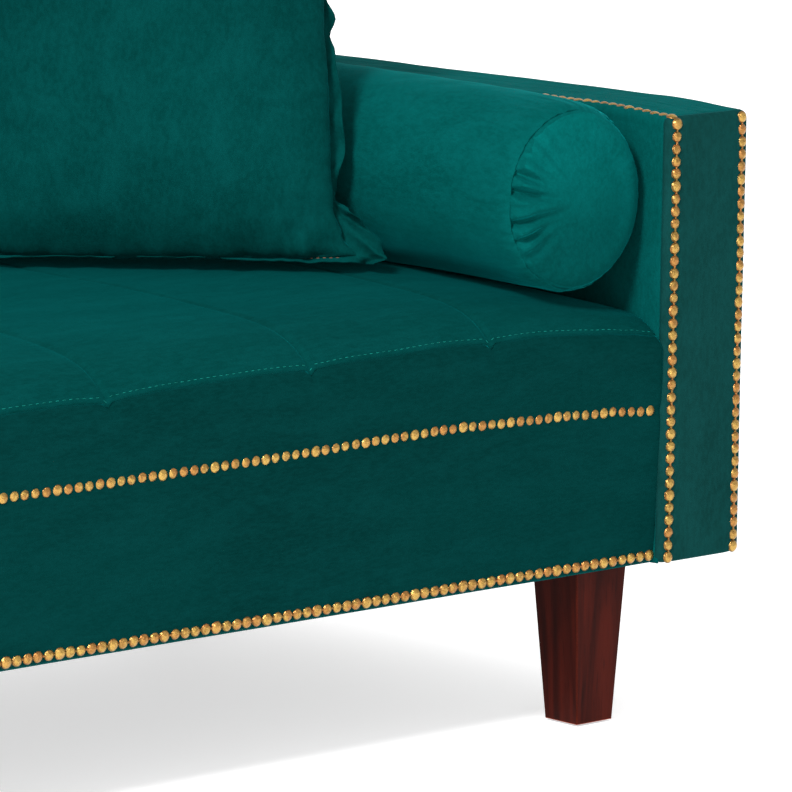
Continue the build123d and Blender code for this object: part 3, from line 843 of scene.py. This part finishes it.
def back_point(x, share):
    """A point of the inside back: up its face, over the top, to the rear seam."""
    y0, top, rear = BACK_LOW.y, BACK_HIGH.z, OUTSIDE_HIGH.y
    low = BACK_LOW.z + 0.03
    face = top - BACK_ROUND - low
    lengths = [face, BACK_ROUND * 1.5, rear - y0 - BACK_RAKE - BACK_ROUND - BACK_REAR_ROUND, 0.022, 0.009]
    number, along = walk(lengths, share)
    nearest = min(abs(x - place) for place in SEAM_PLACES)
    wave = 0.0016 * soft(x, share, 6, 0.2) - cloth().seam_depth * 0.8 * valley(nearest, cloth().seam_width)
    wave -= 0.0015 * valley(nearest, 0.03)
    from_end = min(1.0, (HALF_SEAT - abs(x)) / BACK_END_ROUND)
    wave -= BACK_END_ROUND * (1 - math.sqrt(max(0.0, 1 - (1 - from_end) ** 2)))
    rake = BACK_RAKE / (top - SEAT_HIGH.z)
    if number == 0:
        z = low + along
        return Vector((x, y0 + max(0.0, z - SEAT_HIGH.z) * rake - wave, z))
    y_turn = y0 + (top - BACK_ROUND - SEAT_HIGH.z) * rake
    if number == 1:
        turn = along / lengths[1] * math.pi / 2
        r = BACK_ROUND + wave
        return Vector((x, y_turn + BACK_ROUND - r * math.cos(turn), top - BACK_ROUND + r * math.sin(turn)))
    if number == 2:
        start = y_turn + BACK_ROUND
        y = start + (rear - BACK_REAR_ROUND - start) * along / lengths[2]
        return Vector((x, y, top + wave))
    if number == 3:
        turn = along / lengths[3] * math.pi / 2
        r = BACK_REAR_ROUND + min(0.0, wave)
        y = rear - BACK_REAR_ROUND + r * math.sin(turn)
        return Vector((x, y, top - BACK_REAR_ROUND + r * math.cos(turn)))
    return Vector((x, rear + min(0.0, wave), top - BACK_REAR_ROUND - along))


def back_end_point(share, z):
    """A point of the side panel of the back above the arm."""
    rake = BACK_RAKE / (BACK_HIGH.z - SEAT_HIGH.z)
    top = BACK_HIGH.z
    y0 = BACK_LOW.y + (z - SEAT_HIGH.z) * rake
    y1 = OUTSIDE_HIGH.y
    if z > top - BACK_ROUND:
        y0 += BACK_ROUND - math.sqrt(max(0.0, BACK_ROUND**2 - (z - top + BACK_ROUND) ** 2))
    if z > top - BACK_REAR_ROUND:
        y1 -= BACK_REAR_ROUND - math.sqrt(max(0.0, BACK_REAR_ROUND**2 - (z - top + BACK_REAR_ROUND) ** 2))
    inner, outer = y0 + 0.010, y1 - 0.006
    y = inner + (outer - inner) * share
    edge = min(y - inner, outer - y, top - z)
    swell = 0.004 * (1 - math.exp(-max(0.0, edge) / 0.012))
    return Vector((HALF_SEAT - 0.0042 + swell + 0.0005 * soft(y, z, 1, 0.06), y, z))


class SOFA_OT_back(bpy.types.Operator):
    """The tight back: inside back with sewn seams, end panels and outside back"""

    bl_idname = "sofa.back"
    bl_label = "Back"

    def execute(self, context):
        columns = spaced(-HALF_SEAT, HALF_SEAT, 0.011, (*SEAM_PLACES, -HALF_SEAT, HALF_SEAT))
        rows = [i / 150 for i in range(151)]
        piece = grid("inside_back_velvet", columns, rows, back_point)
        thicken(piece)
        upholster(piece, "upright", 0.85, "back_cover", "back_foam")
        for side, name in SIDES:
            across = [ease_ends(i / 40) for i in range(41)]
            up = spaced(ARM_TOP - 0.05, BACK_HIGH.z - 0.009, 0.006, (BACK_HIGH.z,), 0.0022, 0.04)
            end = grid(f"back_end_velvet_{name}", across, up, other_side(back_end_point, side))
            thicken(end, (side, 0, 0))
            upholster(end, "upright", 0.9)
        self.outside_back()
        return {"FINISHED"}

    def outside_back(self):
        high = OUTSIDE_HIGH.z
        columns = spaced(-OUTSIDE_HIGH.x, OUTSIDE_HIGH.x, 0.012, (-HALF_SEAT, HALF_SEAT), 0.003, 0.008)
        rows = spaced(0.0, 1.0, 0.02, (0.0, 1.0), 0.006, 0.03)

        def place(x, share):
            wide = abs(x) - HALF_SEAT
            top = high if wide <= 0.0015 else arm_top_z(OUTSIDE_HIGH.y) - 0.001
            if wide > OUTSIDE_HIGH.x - HALF_SEAT - ARM_ROUND:
                top -= ARM_ROUND * 0.5
            z = HEM + (top - HEM) * share
            edge = min(OUTSIDE_HIGH.x - abs(x), top - z, z - HEM)
            hug = 0.0015 * math.exp(-max(0.0, edge) / 0.006)
            return Vector((x, OUTSIDE_HIGH.y - hug + 0.0012 * soft(x, z, 4, 0.3), z))

        piece = grid("outside_back_velvet", columns, rows, place)
        thicken(piece, (0, 1, 0))
        upholster(piece, "upright", 0.9, "outside_back_cover")


# ---- bolsters ----
BOLSTER_LOW, BOLSTER_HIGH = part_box("bolster_cover_right")
BOLSTER_R = (BOLSTER_HIGH.z - BOLSTER_LOW.z) / 2
BOLSTER_WIDE = BOLSTER_R - 0.0035
BOLSTER_X = BOLSTER_HIGH.x - BOLSTER_WIDE
BOLSTER_Z = (BOLSTER_HIGH.z + BOLSTER_LOW.z) / 2
FRONT_SAG = 0.0065
TOP_SAG = 0.0090
TOP_SWELL = 0.0056
DISC_SWELL = 0.0150
DISC_RIM = 0.0050
DISC_SEAM = 0.0038
TUBE_SEAM = 0.0036
PUFF_HIGH = 0.0026
PUFF_IN = 0.013
PUFF_WIDE = 0.012
FOLD_DEPTH = 0.0095
FOLD_REACH = 0.036
FOLD_WIDE = 0.0046
PUSHED_UP = 0.0100
END_ROLL = 0.0095
END_ROLL_RUN = 0.0070
# Gathers of the end disc: angle up from its inner side in degrees, and strength.
DISC_GATHERS = ((50, 0.2), (36, 0.3), (22, 0.9), (10, 1.4), (-12, 1.3), (-24, 0.9), (-38, 0.3))
REAR_GATHERS = ((70, 0.5), (38, 0.8), (12, 0.6), (-20, 0.9), (-60, 0.5), (150, 0.6), (200, 0.7), (110, 0.5))


def gathers(turn, inset, folds):
    """Depth of the folds drawn in at the rim, fading towards the middle of the disc."""
    depth = 0.0
    for angle, strength in folds:
        away = (math.degrees(turn) - angle + 180) % 360 - 180
        arc = math.radians(away) * (BOLSTER_R - inset)
        depth += strength * (valley(arc, FOLD_WIDE) - 0.4 * valley(abs(arc) - PUSHED_UP, 0.0050))
    depth *= ease((BOLSTER_R - inset - 0.012) / 0.030)
    return depth * math.exp(-inset / FOLD_REACH) * ease(inset / 0.004)


def bolster_shape(y):
    """Half height of the bolster and the height of its middle at that depth."""
    behind = max(0.0, y - BOLSTER_LOW.y)
    above = TOP_SAG * math.exp(-behind / 0.20) - TOP_SWELL * (1 - math.exp(-behind / 0.035))
    below = FRONT_SAG * math.exp(-behind / 0.09)
    return BOLSTER_R - (above - below) / 2, BOLSTER_Z - (above + below) / 2


def bolster_point(turn, step):
    """A point of the bolster: from the front disc's middle, over the seams, to the rear disc's middle."""
    y0, y1, full = BOLSTER_LOW.y, BOLSTER_HIGH.y, BOLSTER_R
    part, share = step
    if part != "tube":
        r = (full - DISC_RIM) * share
        inset = full - DISC_RIM - r
        dome = DISC_SWELL * (1 - share**2.1) ** 0.72
        folds = DISC_GATHERS if part == "front" else REAR_GATHERS
        puff = PUFF_HIGH * valley(inset - PUFF_IN, PUFF_WIDE)
        sink = FOLD_DEPTH * gathers(turn, inset, folds)
        small = 0.0012 * soft(math.cos(turn) * 9, math.sin(turn) * 9, 3, 1.0) * math.exp(-inset / 0.03)
        flat = 0.0012 * soft(r * math.cos(turn), r * math.sin(turn), 2, 0.035)
        seam = 0.0034 * valley(inset, 0.0022) * (0.35 + 0.65 * ease(0.5 + 1.2 * math.cos(turn)))
        out = dome + puff - sink + small + flat - seam
        y = y0 + DISC_SWELL + DISC_SEAM - out if part == "front" else y1 - DISC_SWELL - DISC_SEAM + out
    else:
        y = y0 + DISC_SWELL + TUBE_SEAM + (y1 - y0 - 2 * (DISC_SWELL + TUBE_SEAM)) * share
        edge = min(y - y0 - DISC_SWELL, y1 - DISC_SWELL - y)
        roll = END_ROLL * math.exp(-edge / END_ROLL_RUN)
        crease = 0.0012 * soft(math.cos(turn) * 14, math.sin(turn) * 14, edge * 22, 1.0)
        crease *= math.exp(-edge / 0.05)
        diagonal = 0.0018 * soft(turn * 3 + edge * 26, edge * 5, 7, 1.0) * math.exp(-edge / 0.14)
        r = full - roll + crease + diagonal + 0.0009 * soft(turn * 2, y * 9, 2, 1.0)
    tall, middle = bolster_shape(y)
    x = -math.cos(turn) * r * BOLSTER_WIDE / full
    x = min(x, BOLSTER_WIDE - 0.0002)
    return Vector((BOLSTER_X + x, y, middle + math.sin(turn) * r * tall / full))


class SOFA_OT_bolsters(bpy.types.Operator):
    """The two bolsters, their end discs gathered into the seam"""

    bl_idname = "sofa.bolsters"
    bl_label = "Bolsters"

    def execute(self, context):
        disc = [max(0.004, math.sin(i / 34 * math.pi / 2)) for i in range(35)]
        tube = [ease_ends(i / 110) for i in range(111)]
        steps = [("front", s) for s in disc] + [("tube", s) for s in tube]
        steps += [("rear", s) for s in reversed(disc)]
        turns = [i * 2 * math.pi / 380 for i in range(380)]
        for side, name in SIDES:
            piece = grid(f"bolster_velvet_{name}", turns, steps, other_side(bolster_point, side), True, True)
            outward(piece)
            nodes = (f"bolster_cover_{name}", f"bolster_core_{name}")
            upholster(piece, "bolster", 0.8, *nodes, body=f"bolster_{name}")
            # The end discs take the disc copy of the velvet, painted brighter than the tube and darker
            # towards the bottom.
            piece.data.materials.append(material("disc"))
            for face in piece.data.polygons:
                from_end = min(face.center.y - BOLSTER_LOW.y, BOLSTER_HIGH.y - face.center.y)
                if abs(face.normal.y) > 0.72 and from_end < 0.025:
                    face.material_index = 1
        return {"FINISHED"}


# ---- pillows ----
PILLOW_LOW, PILLOW_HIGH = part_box("pillow_cover_right")
PILLOW_CENTRE = (PILLOW_LOW + PILLOW_HIGH) / 2
PILLOW_HALF = 0.250
PILLOW_TURN = math.radians(45.3)
PILLOW_LEAN = math.radians(10.0)
PILLOW_FAT = 0.080
FLANGE_WAVE = 0.0085
FLANGE_PITCH = 0.046
EAR_PLEAT = 0.0125
EAR_PINCH = 0.016
TUCK_DEPTH = 0.0070
TUCK_REACH = 0.030
RISING_FOLD = 0.0075
RISING_REACH = 0.055
OVERHANG = 0.010
FLANGE_FORWARD = 0.020
FLANGE_STITCHES = 62
SEAM_SHARE = 0.90
# Half width to the flange's edge at distances from a lower corner, in millimetres.
SIDE_EDGE = (
    (0, 238), (14, 252), (36, 245), (56, 226), (68, 212), (79, 195), (88, 198), (124, 207), (173, 203),
    (219, 196), (235, 190), (251, 196), (274, 185), (290, 194), (320, 190), (350, 196), (390, 198),
    (430, 214), (500, 250),
)
FLAT_EDGE = ((0, 250), (40, 240), (90, 224), (160, 208), (250, 196), (340, 207), (420, 226), (500, 250))
BOTTOM_EDGE = ((0, 246), (60, 243), (250, 240), (440, 243), (500, 246))
# Half width to the seam where the flange begins, in the same way.
SIDE_SEAM = (
    (0, 222), (24, 219), (44, 203), (70, 192), (124, 188), (173, 186), (250, 179), (380, 184), (460, 200),
    (500, 226),
)
FLAT_SEAM = ((0, 226), (60, 205), (140, 190), (250, 180), (360, 190), (440, 205), (500, 226))
BOTTOM_SEAM = ((0, 236), (60, 239), (250, 240), (440, 239), (500, 236))


def pillow_axes():
    across = Vector((math.cos(PILLOW_TURN), -math.sin(PILLOW_TURN), 0))
    facing = Vector((-math.sin(PILLOW_TURN), -math.cos(PILLOW_TURN), math.tan(PILLOW_LEAN))).normalized()
    return across, facing.cross(across), facing


def rim_place(share, t, seam, edge):
    """Distance from the middle for a share from 0 to 1, with the seam at its own place."""
    seam_at = from_table(seam, (t + 1) * 250)
    if share <= SEAM_SHARE:
        return seam_at * share / SEAM_SHARE
    return seam_at + (from_table(edge, (t + 1) * 250) - seam_at) * (share - SEAM_SHARE) / (1 - SEAM_SHARE)


def pillow_outline(u, v):
    """Place in the pillow's own plane for u and v from -1 to 1."""
    a = rim_place(abs(u), v, SIDE_SEAM, SIDE_EDGE)
    if v < 0:
        b = rim_place(abs(v), u, BOTTOM_SEAM, BOTTOM_EDGE)
    else:
        b = rim_place(abs(v), u, FLAT_SEAM, FLAT_EDGE)
    return math.copysign(a, u), math.copysign(b, v)


def ruffle(u, v, beyond):
    """How far the flange waves out of the pillow's plane."""
    along = (u if abs(v) > abs(u) else v) * PILLOW_HALF
    which = (1.0 if abs(u) > abs(v) else 2.0) + (4.0 if max(u, v, key=abs) < 0 else 0.0)
    phase = along / FLANGE_PITCH * 2 * math.pi + 2.6 * soft(along, which, 2, 0.07)
    strong = 0.6 + 0.8 * soft(along, which, 5, 0.06)
    wave = FLANGE_WAVE * beyond * strong * math.sin(phase + which)
    ear = ease((abs(u) - 0.86) / 0.10) * ease((-v - 0.62) / 0.14)
    pleat = math.atan2(abs(u) * PILLOW_HALF - 0.205, -v * PILLOW_HALF - 0.150) * 15.0
    wave = wave * (1 - ear) + EAR_PLEAT * ear * beyond * math.asin(math.sin(pleat + 0.6)) / 1.57
    pinch = EAR_PINCH * beyond * ease((abs(u) - SEAM_SHARE) / 0.05) * valley(v + 0.672, 0.036)
    return wave - pinch


def pillow_depth(u, v, a, b, front):
    """Thickness of the stuffing under one face, with its folds and the gathers along its seam."""
    pu, pv = abs(u) / SEAM_SHARE, abs(v) / SEAM_SHARE
    if pu >= 1 or pv >= 1:
        return 0.0
    puff = ((1 - pu**2.8) * (1 - pv**3.2)) ** 0.50
    seam_gap = (1 - max(pu, pv)) * PILLOW_HALF
    along = a if pv > pu else b
    side = 3.0 if pv > pu else 8.0
    gather = math.exp(-seam_gap / TUCK_REACH) * ease(seam_gap / 0.005)
    strong = 0.5 + ease(0.5 + 1.2 * soft(along, side, 4, 0.10))
    tucks = soft(along, side + front, seam_gap * 0.3, 0.012) + soft(along, side * 2, seam_gap, 0.030)
    tucks *= TUCK_DEPTH * ease(abs(pu - pv) / 0.10)
    folds = 0.0055 * soft(a, b, front * 3, 0.11) + 0.0030 * soft(a + b * 0.4, b, front * 5, 0.04)
    # Two folds that run in from the outer side.
    if u > 0.2 and front > 0:
        folds -= 0.0090 * valley(b - 0.025 - 0.30 * (0.19 - a), 0.010) * ease((a - 0.10) / 0.07)
        folds -= 0.0080 * valley(b + 0.045 + 0.25 * (0.19 - a), 0.009) * ease((a - 0.13) / 0.05)
    # Folds that rise from the bottom seam, and soft ones that run in towards each corner.
    rise = math.exp(-(1 - pv) * PILLOW_HALF / RISING_REACH) * (v < 0)
    folds -= RISING_FOLD * rise * soft(a, 9, 2, 0.034)
    folds -= 0.0050 * math.exp(-math.hypot(1 - pu, 1 - pv) / 0.22) * valley(pu - pv - 0.05, 0.05)
    return max(0.0, PILLOW_FAT * puff + tucks * gather * strong + folds * puff)


def pillow_point(u, v, front):
    """A point of one face of the pillow; front is 1 on the room side and -1 on the other."""
    across, upright, facing = pillow_axes()
    ahead = Vector((facing.x, facing.y, 0)).normalized()
    a, b = pillow_outline(u, v)
    beyond = ease((max(abs(u), abs(v)) - SEAM_SHARE) / (1 - SEAM_SHARE))
    depth = pillow_depth(u, v, a, b, front)
    overhang = OVERHANG * math.exp(-((depth - 0.022) ** 2) / 0.0003) * (depth > 0)
    sideways = ease(0.5 + 5 * (abs(u) - abs(v)))
    a += math.copysign(overhang * sideways, a)
    if v < 0:
        b -= overhang * 0.5 * (1 - sideways)
    point = PILLOW_CENTRE + across * a + upright * b
    point += facing * (front * (depth + 0.0011) + ruffle(u, v, beyond))
    if v < -SEAM_SHARE:
        run = (-v - SEAM_SHARE) / (1 - SEAM_SHARE) * FLANGE_FORWARD
        flat = 1 - ease((abs(u) - 0.86) / 0.08)
        point += ahead * run * flat
        wave = 0.5 + 0.5 * soft(a, 1, 6, 0.035) + 0.3 * soft(a, 4, 6, 0.012)
        point.z += flat * (run * 0.24 * wave + front * 0.0006 * run / FLANGE_FORWARD)
    return point


def settle(point):
    """Keep a pillow's lower rim lying on the seat instead of in it."""
    floor = seat_point(point.x, max(0.0, point.y - SEAM_Y + SEAM_FORWARD)).z + 0.0010
    if point.z < floor:
        point.z = floor + (point.z - floor) * 0.06
    point.z = max(point.z, floor)
    return point


def pillow_ticks(count):
    """Places from -1 to 1: even over the stuffing, closer together over the flange."""
    rim = [SEAM_SHARE + (1 - SEAM_SHARE) * i / 12 for i in range(1, 13)]
    inner = [-SEAM_SHARE + 2 * SEAM_SHARE * ease_ends(i / count) for i in range(count + 1)]
    return [-r for r in reversed(rim)] + inner + rim


class SOFA_OT_pillows(bpy.types.Operator):
    """The two throw pillows with their waved flanges"""

    bl_idname = "sofa.pillows"
    bl_label = "Pillows"

    def execute(self, context):
        ticks = pillow_ticks(150)
        for side, name in SIDES:
            piece = self.shell(name, ticks, side)
            nodes = (f"pillow_cover_{name}", f"pillow_insert_{name}")
            upholster(piece, "pillow", 0.7, *nodes, body=f"pillow_{name}", slot="pillow_velvet")
            stitches = self.flange_stitches(name, side)
            dress(stitches, f"pillow_{name}", "pillow_velvet", material("gold_thread"))
        return {"FINISHED"}

    def shell(self, name, ticks, side):
        """Both faces, joined round the rim of the flange."""
        count = len(ticks)
        points = []
        for front in (1, -1):
            for v in ticks:
                for u in ticks:
                    point = settle(pillow_point(u, v, front))
                    points.append(Vector((point.x * side, point.y, point.z)))
        faces = []
        for layer in (0, 1):
            base = layer * count * count
            for j in range(count - 1):
                for i in range(count - 1):
                    a = base + j * count + i
                    faces.append((a, a + 1, a + count + 1, a + count))
        last = count - 1
        rim = list(range(count))
        rim += [j * count + last for j in range(1, count)]
        rim += [last * count + i for i in range(last - 1, -1, -1)]
        rim += [j * count for j in range(last - 1, 0, -1)]
        for k, a in enumerate(rim):
            b = rim[(k + 1) % len(rim)]
            faces.append((a, b, b + count * count, a + count * count))
        piece = join_meshes(f"pillow_velvet_{name}", [(points, faces)])
        outward(piece)
        return piece

    def flange_stitches(self, name, side):
        """Stitches just outside the seam, along the lower and the upper flange."""
        line = SEAM_SHARE + 0.025
        parts = []
        facing = pillow_axes()[2]
        for v in (-line, line):
            for i in range(FLANGE_STITCHES):
                u = -0.84 + 1.68 * (i + 0.5) / FLANGE_STITCHES
                ends = [settle(pillow_point(u + shift, v, 1)) for shift in (-0.006, 0.006)]
                along = ends[1] - ends[0]
                at = (ends[0] + ends[1]) / 2 + facing * 0.0002
                points, faces = stitch(at, along.normalized(), facing, 0.0036, 0.00045)
                parts.append(([Vector((p.x * side, p.y, p.z)) for p in points], faces))
        return join_meshes(f"pillow_stitches_{name}", parts)


# ---- nailhead trim ----
DOME_SIDES = 14
NAIL_RISE = 0.0030
HEAD_RISE = 0.0026
LINK_WIDE = 0.0054
LINK_HIGH = 0.0007


def dome_mesh(at, normal, along, radius, rise, rng, tilt, sides=DOME_SIDES, rings=6):
    """A low hammered head: flat crown, rounded shoulder, closed underneath."""
    lean = Vector((rng.uniform(-tilt, tilt), rng.uniform(-tilt, tilt), rng.uniform(-tilt, tilt)))
    up = (normal + lean).normalized()
    side = along.cross(up).normalized()
    ahead = up.cross(side)
    points = [at + up * rise]
    for ring in range(1, rings + 1):
        share = ring / rings
        r = radius * share
        height = rise * (1 - share**2.4) + rng.uniform(-0.04, 0.04) * rise * (1 - share)
        for k in range(sides):
            turn = 2 * math.pi * k / sides
            points.append(at + side * (r * math.cos(turn)) + ahead * (r * math.sin(turn)) + up * height)
    base = 1 + (rings - 1) * sides
    for k in range(sides):
        points.append(points[base + k] - up * 0.0009)
    faces = [(0, 1 + k, 1 + (k + 1) % sides) for k in range(sides)]
    faces += [(a, d, c, b) for a, b, c, d in ring_faces(rings, sides, 1)]
    faces.append(tuple(1 + rings * sides + k for k in range(sides)))
    return points, faces


def link_mesh(start, end, normal, wide, high):
    """The neck of strip between two heads: narrow in the middle, flaring into both."""
    along = (end - start).normalized()
    side = along.cross(normal).normalized()
    points = []
    for share, fat in ((0.0, 1.0), (0.3, 0.75), (0.5, 0.42), (0.7, 0.75), (1.0, 1.0)):
        middle = start.lerp(end, share)
        half = side * (wide * fat / 2)
        lift = normal * (high * (0.55 + 0.45 * fat))
        points += [middle - half - normal * 0.0006, middle + half - normal * 0.0006]
        points += [middle + half * 0.6 + lift, middle - half * 0.6 + lift]
    faces = [(3, 2, 1, 0), (16, 17, 18, 19)]
    return points, faces + ring_faces(4, 4)


RAIL_COUNTS = (146, 145)
ARM_COUNT = 36
TOP_NAIL_DROP = 0.012


def trim_rows():
    """Every row of trim as a list of (point, outward normal)."""
    pitch = trim().pitch
    inset = trim().inset
    rows = []
    lean = Vector((0, -1, -0.04)).normalized()
    for row, count in zip(TRIM_ROWS, RAIL_COUNTS):
        half = (count - 1) * pitch / 2
        places = [half - i * pitch for i in range(count)]
        rows.append([(Vector((x, band_y(x, row_z(row, x)), row_z(row, x))), lean) for x in places])
    top = ARM_TOP - TOP_NAIL_DROP
    spread = arm_top_z(ARM_FRONT + ARM_ROUND) - HEM
    for side in (1, -1):
        for x in (ARM_LOW.x + inset, OUTSIDE_HIGH.x - inset):
            row = []
            u = (x - ARM_LOW.x) / (OUTSIDE_HIGH.x - ARM_LOW.x)
            for i in range(ARM_COUNT):
                z = top - (ARM_COUNT - 1 - i) * pitch
                z_near = min(z, HEM + spread - 0.0065)
                at = front_panel_point(u, (z_near - HEM) / spread)
                jog = 0.0008 * soft(z, x * side, 3, 0.035)
                row.append((Vector((side * (at.x + jog), at.y, at.z)), Vector((0, -1, 0))))
            rows.append(row)
        row = []
        y = ARM_FRONT + inset
        while y < OUTSIDE_LOW.y - inset:
            z = arm_top_z(y) - 0.0012
            at = lean_out(Vector((ARM_LOW.x + inset, y, z)))
            row.append((Vector((side * at.x, y, z)), Vector((0, 0, 1))))
            y += pitch
        rows.append(row)
    return rows


class SOFA_OT_trim(bpy.types.Operator):
    """Driven nails and the stamped strips between them"""

    bl_idname = "sofa.trim"
    bl_label = "Nailhead trim"

    def execute(self, context):
        rng = random.Random(7)
        nails = []
        heads = []
        links = []
        for row in trim_rows():
            count = len(row)
            for i, (at, normal) in enumerate(row):
                after = row[min(i + 1, count - 1)][0] - row[max(i - 1, 0)][0]
                along = after.normalized()
                driven = i % trim().period == 0 or i == count - 1
                jitter = along * rng.uniform(-0.00035, 0.00035)
                if driven:
                    radius = trim().nail_r * rng.uniform(0.97, 1.04)
                    nails.append(dome_mesh(at + jitter, normal, along, radius, NAIL_RISE, rng, 0.12))
                else:
                    radius = trim().head_r * rng.uniform(0.95, 1.03)
                    heads.append(dome_mesh(at + jitter, normal, along, radius, HEAD_RISE, rng, 0.10))
                if i + 1 < count:
                    links.append(link_mesh(at, row[i + 1][0], normal, LINK_WIDE, LINK_HIGH))
        piece = join_meshes("trim_nail_heads", nails)
        dress(piece, BODY, "aged_brass", material("nail"), "trim_nails")
        self.darken_rims(piece, len(nails), len(nails[0][1]))
        piece = join_meshes("trim_strip_heads", heads + links)
        dress(piece, BODY, "aged_brass", material("strip"), "trim_strips")
        self.darken_rims(piece, len(heads), len(heads[0][1]))
        return {"FINISHED"}

    def darken_rims(self, piece, count, each):
        """A darker brass round the rims of the heads, of that many faces each, paints the shade at their
        edges; the links take the same darker brass.
        """
        piece.data.materials.append(material("rim_shade"))
        rim = each - 1 - 2 * DOME_SIDES
        for face in piece.data.polygons:
            # Painted shade: the rim faces of each head and all link faces take the darker brass.
            if face.index >= count * each or face.index % each >= rim:
                face.material_index = 1


FINISH_OF_SLOT = {
    "leg_wood": "leg", "frame_timber": "timber", "panel_board": "board", "lining_cloth": "lining",
    "webbing": "webbing", "zinc_steel": "steel", "spring_steel": "wire", "glide_plastic": "glide",
}


class SOFA_OT_finishes(bpy.types.Operator):
    """Finishes of the legs, the frame and every piece inside"""

    bl_idname = "sofa.finishes"
    bl_label = "Frame and leg finishes"

    def execute(self, context):
        for part in frame["record"]["subparts"]:
            key = FINISH_OF_SLOT.get(part["material_slot"])
            if key:
                node = frame["nodes"][part["node"]]
                node.data.materials.clear()
                node.data.materials.append(material(key))
        return {"FINISHED"}


# ---- stage ----
LIT_POINT = Vector((0.2, 0.0, 0.4))
CAMERA_TURN = math.radians(40.93)
CAMERA_TIP = math.radians(9.26)


class SOFA_OT_stage(bpy.types.Operator):
    """Pale floor, soft lights and the camera"""

    bl_idname = "sofa.stage"
    bl_label = "Stage"

    def execute(self, context):
        stage = context.scene.sofa_stage
        floor = grid("studio_floor", [-9.0, 9.0], [-9.0, 9.0], lambda x, y: Vector((x, y, -0.0004)))
        floor.data.materials.append(material("floor"))
        self.world(context, stage)
        self.lamp("key_light", (-3.1, -2.0, 3.5), 1.1, stage.key_power)
        self.lamp("fill_light", (-1.6, -4.6, 1.5), 3.0, stage.fill_power)
        self.camera(context, stage)
        context.scene.view_settings.view_transform = "Standard"
        return {"FINISHED"}

    def world(self, context, stage):
        world = bpy.data.worlds.new("studio")
        world.use_nodes = True
        light = world.node_tree.nodes["Background"]
        light.inputs["Color"].default_value = (1.0, 1.0, 1.0, 1.0)
        light.inputs["Strength"].default_value = stage.sky
        context.scene.world = world

    def lamp(self, name, at, size, power):
        """A round soft light that faces the middle of the sofa."""
        light = bpy.data.lights.new(name, "AREA")
        light.shape = "DISK"
        light.size = size
        light.energy = power
        lamp = bpy.data.objects.new(name, light)
        bpy.context.scene.collection.objects.link(lamp)
        lamp.location = at
        lamp.rotation_euler = (LIT_POINT - Vector(at)).to_track_quat("-Z", "Y").to_euler()

    def camera(self, context, stage):
        """A long lens from the front left, level with the room and looking slightly down."""
        eye = bpy.data.cameras.new("camera")
        eye.lens = stage.lens
        eye.sensor_width = 36.0
        eye.clip_end = 60.0
        camera = bpy.data.objects.new("camera", eye)
        context.scene.collection.objects.link(camera)
        level = math.cos(CAMERA_TIP)
        ahead = (math.sin(CAMERA_TURN) * level, math.cos(CAMERA_TURN) * level, -math.sin(CAMERA_TIP))
        camera.location = (-3.3123, -4.8585, 1.3326)
        camera.rotation_euler = Vector(ahead).to_track_quat("-Z", "Y").to_euler()
        context.scene.camera = camera


class SOFA_PT_panel(bpy.types.Panel):
    """The sofa's pieces, in the order they are made"""

    bl_idname = "SOFA_PT_panel"
    bl_label = "Sofa"
    bl_space_type = "VIEW_3D"
    bl_region_type = "UI"
    bl_category = "Sofa"

    def draw(self, context):
        for step in STEPS:
            self.layout.operator(step.bl_idname)


STEPS = (
    SOFA_OT_seat,
    SOFA_OT_band,
    SOFA_OT_topstitch,
    SOFA_OT_arms,
    SOFA_OT_back,
    SOFA_OT_bolsters,
    SOFA_OT_pillows,
    SOFA_OT_trim,
    SOFA_OT_finishes,
    SOFA_OT_stage,
)
SETTINGS = {
    "sofa_cloth": SofaClothSettings,
    "sofa_trim": SofaTrimSettings,
    "sofa_stage": SofaStageSettings,
}


def register():
    for name, group in SETTINGS.items():
        bpy.utils.register_class(group)
        setattr(bpy.types.Scene, name, PointerProperty(type=group))
    for step in (*STEPS, SOFA_PT_panel):
        bpy.utils.register_class(step)


def unregister():
    for step in (SOFA_PT_panel, *reversed(STEPS)):
        bpy.utils.unregister_class(step)
    for name, group in SETTINGS.items():
        delattr(bpy.types.Scene, name)
        bpy.utils.unregister_class(group)


def main():
    register()
    for step in STEPS:
        section, action = step.bl_idname.split(".")
        getattr(getattr(bpy.ops, section), action)()


if __name__ == "__main__":
    main()
